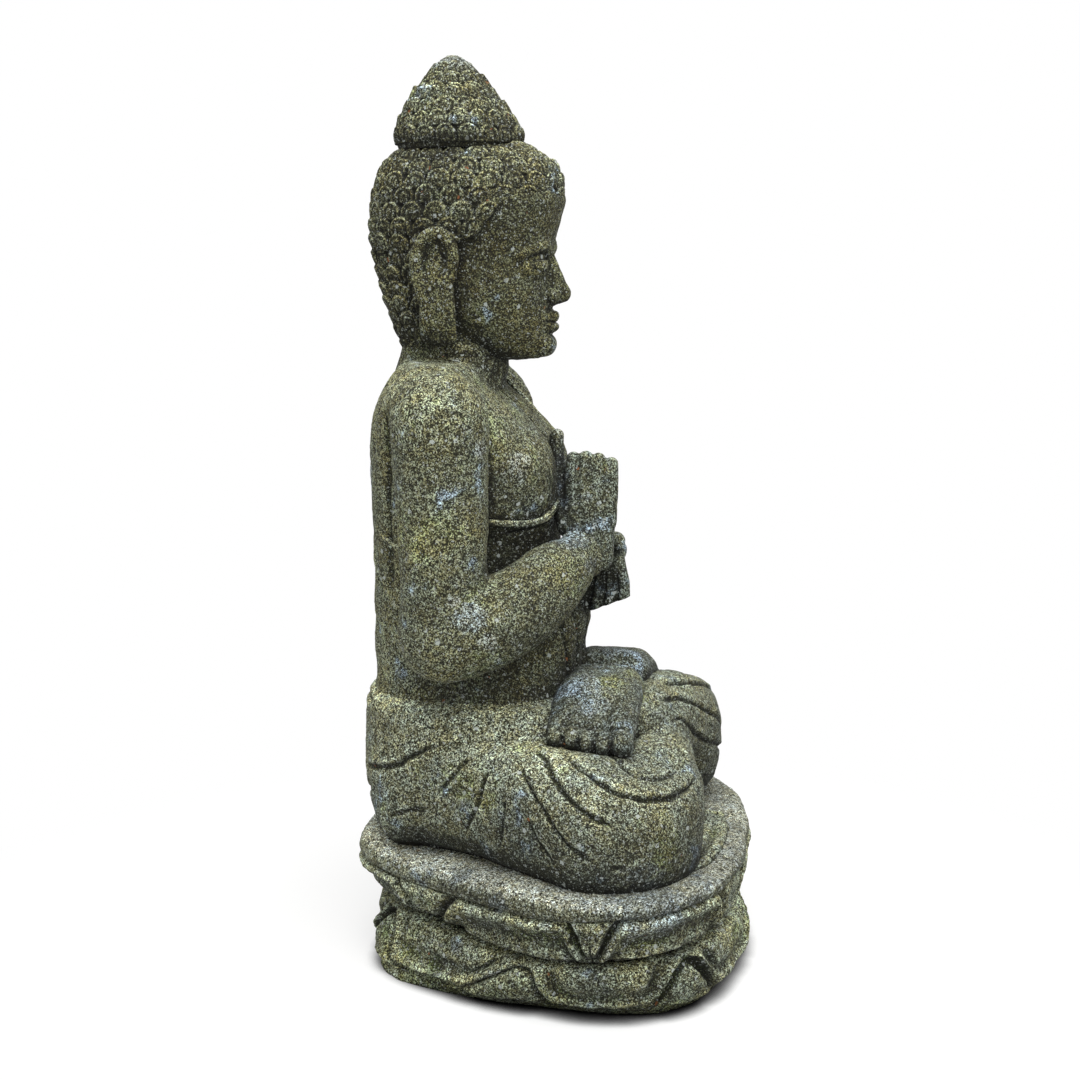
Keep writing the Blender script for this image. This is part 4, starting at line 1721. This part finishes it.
@dataclass(frozen=True)
class Stone:
    """Weathered volcanic stone: coarse grains, pits and white flecks, under moss and lichen.

    body, moss, lichen, pale and top are colours, top only where the stone lies bare above. The shares say
    how much each growth covers. contrast is the grains', dusting is how much paler a place is that faces up,
    dry how much paler the statue's back is, crevice, dirt and shelter how dark hollows, seams and sheltered
    places are, edge how pale edges are, and hues how much the colour wanders.
    """
    name: str
    body: Colour
    moss: Colour = (0.105, 0.110, 0.048)
    lichen: Colour = (0.150, 0.175, 0.180)
    pale: Colour = (0.36, 0.38, 0.33)
    top: Colour | None = None
    moss_share: float = 0.45
    lichen_share: float = 0.3
    pale_share: float = 0.2
    ground_moss: float = 0.0
    contrast: float = 1.0
    crevice: float = 1.6
    dusting: float = 0.35
    edge: float = 0.6
    dirt: float = 1.0
    shelter: float = 0.8
    dry: float = 0.0
    hues: float = 1.0
    bump: float = 0.5
    roughness: float = 0.9
    warm: Colour = (1.13, 1.02, 0.70)
    cool: Colour = (0.88, 0.99, 1.18)
    fleck: Colour = (0.45, 0.49, 0.47)
    pit: Colour = (0.010, 0.010, 0.005)
    rust: Colour = (0.24, 0.09, 0.035)
    brightest: float = 2.7
    exposure: float = -1.03

    def growth(self, g: Grains) -> tuple[Signal, Signal, Signal]:
        """The stone's plain colour under its growths.

        Args:
            g: the patterns.

        Returns:
            The colour, and how much blue-grey and how much white lichen there is.
        """
        blend = g.graph.blend
        mossy = (g.blotch + g.stain * 0.35 + g.hollow * 0.22).above(
            0.92 - 0.5 * self.moss_share, 0.99 - 0.28 * self.moss_share)
        if self.ground_moss:
            mossy = mossy.most(g.height.above(0.085, 0.02) * g.blotch.above(0.40, 0.62) * self.ground_moss)
        colour = blend(mossy, self.body, self.moss)
        if self.top:
            colour = blend((g.upward + (g.stain - 0.5) * 0.7).above(0.42, 0.82), colour, self.top)
        blue = (g.patch + g.stain * 0.3).above(
            0.86 - 0.25 * self.lichen_share, 0.92 - 0.22 * self.lichen_share)
        blue = blue.most(g.bloom.above(-0.34, -0.66))
        white = (g.wash + g.stain * 0.35 - g.hollow * 0.10).above(
            0.93 - 0.28 * self.pale_share, 1.02 - 0.26 * self.pale_share)
        white = white.most(g.bloom.above(0.40, 0.85))
        return blend(white * 0.35, blend(blue * 0.75, colour, self.lichen), self.pale), blue, white

    def grained(self, g: Grains, colour: Signal) -> Signal:
        """A plain colour with its grains: 2^(light + shade) times as bright, and warmer where it is darker."""
        speck = (g.grain - 0.5) * (6.2 * self.contrast) + (g.crumb - 0.5) * (1.3 * self.contrast)
        speck = speck + (g.grit - 0.5) * (9.6 * self.contrast) + (g.rubbed - 0.5) * 0.9
        hue = 0.43 + speck * 0.09 + (g.chip - 0.5) * 0.3 + (g.rubbed - 0.5) * 0.5
        hue = hue + ((g.stain - 0.5) * 1.1 + (g.patch - 0.5) * 1.5) * self.hues
        tint = g.graph.blend(hue.above(0.0, 1.0), self.warm, self.cool)
        light = speck.least(self.brightest) + (g.stain - 0.5) * 2.4 + (g.blotch - 0.5) * 2.4 + self.exposure
        shade = g.hollow.above(0.02, 0.75) * -self.crevice + g.hollow.above(-0.02, -0.5) * self.edge
        shade = shade - g.seam * self.dirt - g.shelter * (1.0 - g.upward) * self.shelter
        shade = shade + (g.back.above(-0.14, 0.20) - 0.5) * self.dry + g.upward * self.dusting
        return g.graph.tinted(g.graph.blend(1.0, colour, tint, "MULTIPLY"), 2.0 ** (light + shade))

    def build(self) -> bpy.types.Material:
        """The material: colour, roughness and bump from the same grains."""
        material = bpy.data.materials.new(self.name)
        material.use_nodes = True
        graph = Graph(material.node_tree)
        g = Grains(graph)
        colour, blue, white = self.growth(g)
        colour = self.grained(g, colour)
        flecks = (g.grain.above(0.91, 0.97) * 0.25).most(g.grain.above(0.62, 0.86) * white * 0.75)
        flecks = flecks.most(g.chip.above(0.988, 0.993) * 0.8)
        flecks = flecks.most(g.spark.above(0.958, 0.970) * (0.65 + blue * 0.2))
        pits = g.crumb.above(0.15, 0.10).most(g.spark.above(0.07, 0.04))
        rusty = g.chip.above(0.0045, 0.0025) * g.hollow.above(0.0, 0.3)
        for share, mark in ((flecks, self.fleck), (pits * 0.92, self.pit), (rusty, self.rust)):
            colour = graph.blend(share, colour, mark)
        relief = g.grit * 0.55 + g.grain * 0.35 + g.crumb * 0.35 - pits * 0.9 + g.stain * 0.6
        bumped = graph.node("ShaderNodeBump", {}, {"Strength": self.bump, "Distance": 0.0016, "Height": relief})
        rough = (g.grain - 0.5) * 0.16 + (1.0 - blue) * 0.06 + (self.roughness - 0.06)
        shader = graph.node("ShaderNodeBsdfPrincipled", {}, {
            "Base Color": colour, "Roughness": rough, "Normal": bumped, "Specular IOR Level": 0.35})
        graph.node("ShaderNodeOutputMaterial", {}, {0: shader})
        return material


FINISHES: dict[Slot, Stone] = {
    Slot.MOSSY: Stone(
        "MossyStone", (0.214, 0.223, 0.143), moss=(0.108, 0.122, 0.044), moss_share=0.6, lichen_share=0.2,
        pale_share=0.2, ground_moss=0.9, dusting=0.7, crevice=1.1, dirt=0.6, contrast=0.95),
    Slot.SEAT: Stone(
        "SlabStone", (0.165, 0.174, 0.124), top=(0.345, 0.358, 0.302), lichen_share=0.3, moss_share=0.15,
        pale_share=0.2, contrast=0.65, hues=0.5, dusting=0.55, dirt=0.1, shelter=0.0, dry=0.8),
    Slot.ROBE: Stone(
        "RobeStone", (0.139, 0.145, 0.098), moss_share=0.42, lichen_share=0.34, pale_share=0.18, dusting=1.25,
        contrast=0.95, dry=0.9, shelter=1.0),
    Slot.FOOT: Stone(
        "FootStone", (0.082, 0.090, 0.070), lichen_share=0.6, moss_share=0.3, pale_share=0.15, dusting=0.6,
        contrast=0.9, shelter=1.0),
    Slot.BODY: Stone(
        "BodyStone", (0.099, 0.100, 0.058), moss_share=0.45, lichen_share=0.28, pale_share=0.28, contrast=1.1,
        dusting=0.5, dry=1.3, dirt=0.8, shelter=1.4),
    Slot.HAND: Stone(
        "HandStone", (0.086, 0.092, 0.064), lichen_share=0.5, moss_share=0.3, pale_share=0.14, dusting=0.5,
        shelter=1.6, contrast=1.05),
    Slot.FACE: Stone(
        "FaceStone", (0.078, 0.075, 0.035), lichen_share=0.3, moss_share=0.35, pale_share=0.12, crevice=2.0,
        dusting=0.5, contrast=1.25, shelter=1.2),
    Slot.HAIR: Stone(
        "HairStone", (0.068, 0.067, 0.036), moss_share=0.3, lichen_share=0.3, pale_share=0.16, crevice=2.8,
        edge=1.2, dusting=1.3, contrast=0.95, dirt=0.8),
}


# ---- studio

@dataclass(frozen=True)
class Studio:
    """A pale floor, soft light from above, and the camera on the figure's right, a little to the front.

    Lengths are metres and angles degrees; focal and axis_at are points of a picture frame points wide.
    """
    distance: float = 2.02
    bearing: float = 9.0
    height: float = 0.768
    pitch: float = 8.5
    focal: float = 1809.0
    frame: float = 1080.0
    axis_at: float = 558.0
    sensor: float = 36.0
    chest: float = 0.45
    sky: float = 0.54

    @staticmethod
    def placed(name: str, data: bpy.types.ID) -> bpy.types.Object:
        """A new object in the scene."""
        obj = bpy.data.objects.new(name, data)
        bpy.context.scene.collection.objects.link(obj)
        return obj

    def camera(self) -> None:
        """Sets up the camera, turned so that the figure's axis lies at axis_at across the picture."""
        turn, pitch = math.radians(self.bearing), math.radians(self.pitch)
        yaw = math.atan((self.frame / 2 - self.axis_at) / self.focal)
        ahead = Vector((math.cos(turn), math.sin(turn), 0)) * math.cos(yaw)
        ahead += Vector((math.sin(turn), -math.cos(turn), 0)) * math.sin(yaw)
        ahead = ahead * math.cos(pitch) + Vector((0, 0, -1)) * math.sin(pitch)
        right = ahead.cross(Vector((0, 0, 1))).normalized()
        data = bpy.data.cameras.new("Camera")
        data.sensor_width = self.sensor
        data.lens = self.sensor * self.focal / self.frame
        data.clip_start, data.clip_end = 0.05, 100.0
        turned = Matrix((right, right.cross(ahead), -ahead)).transposed().to_4x4()
        turned.translation = (-self.distance * math.cos(turn), -self.distance * math.sin(turn), self.height)
        camera = self.placed("Camera", data)
        camera.matrix_world = turned
        bpy.context.scene.camera = camera

    def floor(self) -> None:
        """Lays the floor: pale and matt, darker where the pedestal shuts out the light. To the camera it
        turns into the white backdrop away from the figure."""
        half, matt_white, full = 9.0, (0.62, 0.62, 0.61), (1, 1, 1, 1)
        mesh = bpy.data.meshes.new("Floor")
        corners = [(-half, -half, 0), (half, -half, 0), (half, half, 0), (-half, half, 0)]
        mesh.from_pydata(corners, [], [(0, 1, 2, 3)])
        material = bpy.data.materials.new("PaleFloor")
        material.use_nodes = True
        g = Graph(material.node_tree)
        seen = g.node("ShaderNodeLightPath", {}, {}, "Is Camera Ray")
        place = g.node("ShaderNodeTexCoord", {}, {}, "Object")
        away = g.node("ShaderNodeVectorMath", {"operation": "LENGTH"}, {0: place}, 1)
        shut = g.node("ShaderNodeAmbientOcclusion", {"samples": 16}, {"Distance": 0.024}, 1).above(0.15, 0.90)
        matt = g.node("ShaderNodeBsdfDiffuse", {}, {0: g.tinted(matt_white, shut * (1.0 - seen * 0.45))})
        lift = g.node("ShaderNodeEmission", {}, {0: full, 1: seen * shut * 0.70})
        near = g.node("ShaderNodeAddShader", {}, {0: matt, 1: lift})
        white = g.node("ShaderNodeEmission", {}, {0: full, 1: 1.0})
        far = seen * away.above(0.42, 0.80)
        both = g.node("ShaderNodeMixShader", {}, {0: far, 1: near, 2: white})
        g.node("ShaderNodeOutputMaterial", {}, {0: both})
        mesh.materials.append(material)
        floor = self.placed("Floor", mesh)
        floor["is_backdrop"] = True

    def lamp(self, name: str, place: Row, size: float, power: float) -> None:
        """Hangs a soft square lamp of so many watts, that looks at the figure's chest."""
        data = bpy.data.lights.new(name, "AREA")
        data.shape, data.size, data.energy = "SQUARE", size, power
        lamp = self.placed(name, data)
        lamp.location = place
        lamp.rotation_mode = "QUATERNION"
        lamp.rotation_quaternion = (Vector((0, 0, self.chest)) - Vector(place)).to_track_quat("-Z", "Y")

    def world(self) -> None:
        """A grey sky that lights the figure evenly, and that the camera and gloss see as white."""
        world = bpy.data.worlds.new("Sky")
        bpy.context.scene.world = world
        world.use_nodes = True
        g = Graph(world.node_tree)
        path = g.tree.nodes.new("ShaderNodeLightPath")
        camera, gloss, clear = (
            Signal(g, path.outputs[name]) for name in ("Is Camera Ray", "Is Glossy Ray", "Is Transmission Ray"))
        strength = camera.most(gloss).most(clear) * (1.0 - self.sky) + self.sky
        background = g.node("ShaderNodeBackground", {}, {0: (1.0, 1.0, 1.0, 1.0), 1: strength})
        g.node("ShaderNodeOutputWorld", {}, {0: background})

    def build(self) -> None:
        """Sets up everything but the figure."""
        scene = bpy.context.scene
        scene.view_settings.view_transform = "Standard"
        self.camera()
        self.floor()
        self.world()
        self.lamp("OverheadLamp", (-0.9, -0.5, 3.0), 2.2, 82.0)
        self.lamp("SideLamp", (-2.6, -0.6, 1.9), 1.8, 16.0)


def main() -> None:
    """Builds the statue and the studio."""
    logging.basicConfig(level=logging.INFO, format="%(message)s")
    Studio().build()
    finishes = {slot: stone.build() for slot, stone in FINISHES.items()}
    pedestal, lap, trunk, arms, head, hair = Pedestal(), Lap(), Trunk(), Arms(), Head(), Hair()
    pieces = [
        *pedestal.build(),
        *lap.build(trunk.torso()),
        *trunk.build(lap.hips(), [arms.upper(-1), arms.upper(1)], head.skull()),
        *arms.build(trunk.torso()),
        *head.build(trunk.neck()[0]),
        *hair.build()]
    near, wide = (Crowd([piece.carving for piece in pieces], cell) for cell in (NEAR_CELL, WIDE_CELL))
    for piece in pieces:
        piece.place(finishes, near, wide)
    boxes = {"cad": CAD_BOX, "visual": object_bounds()}
    {name: [list(corner) for corner in box] for name, box in boxes.items()}
    LOG.info("boxes: %s", {name: [list(corner) for corner in box] for name, box in boxes.items()})


if __name__ == "__main__":
    main()
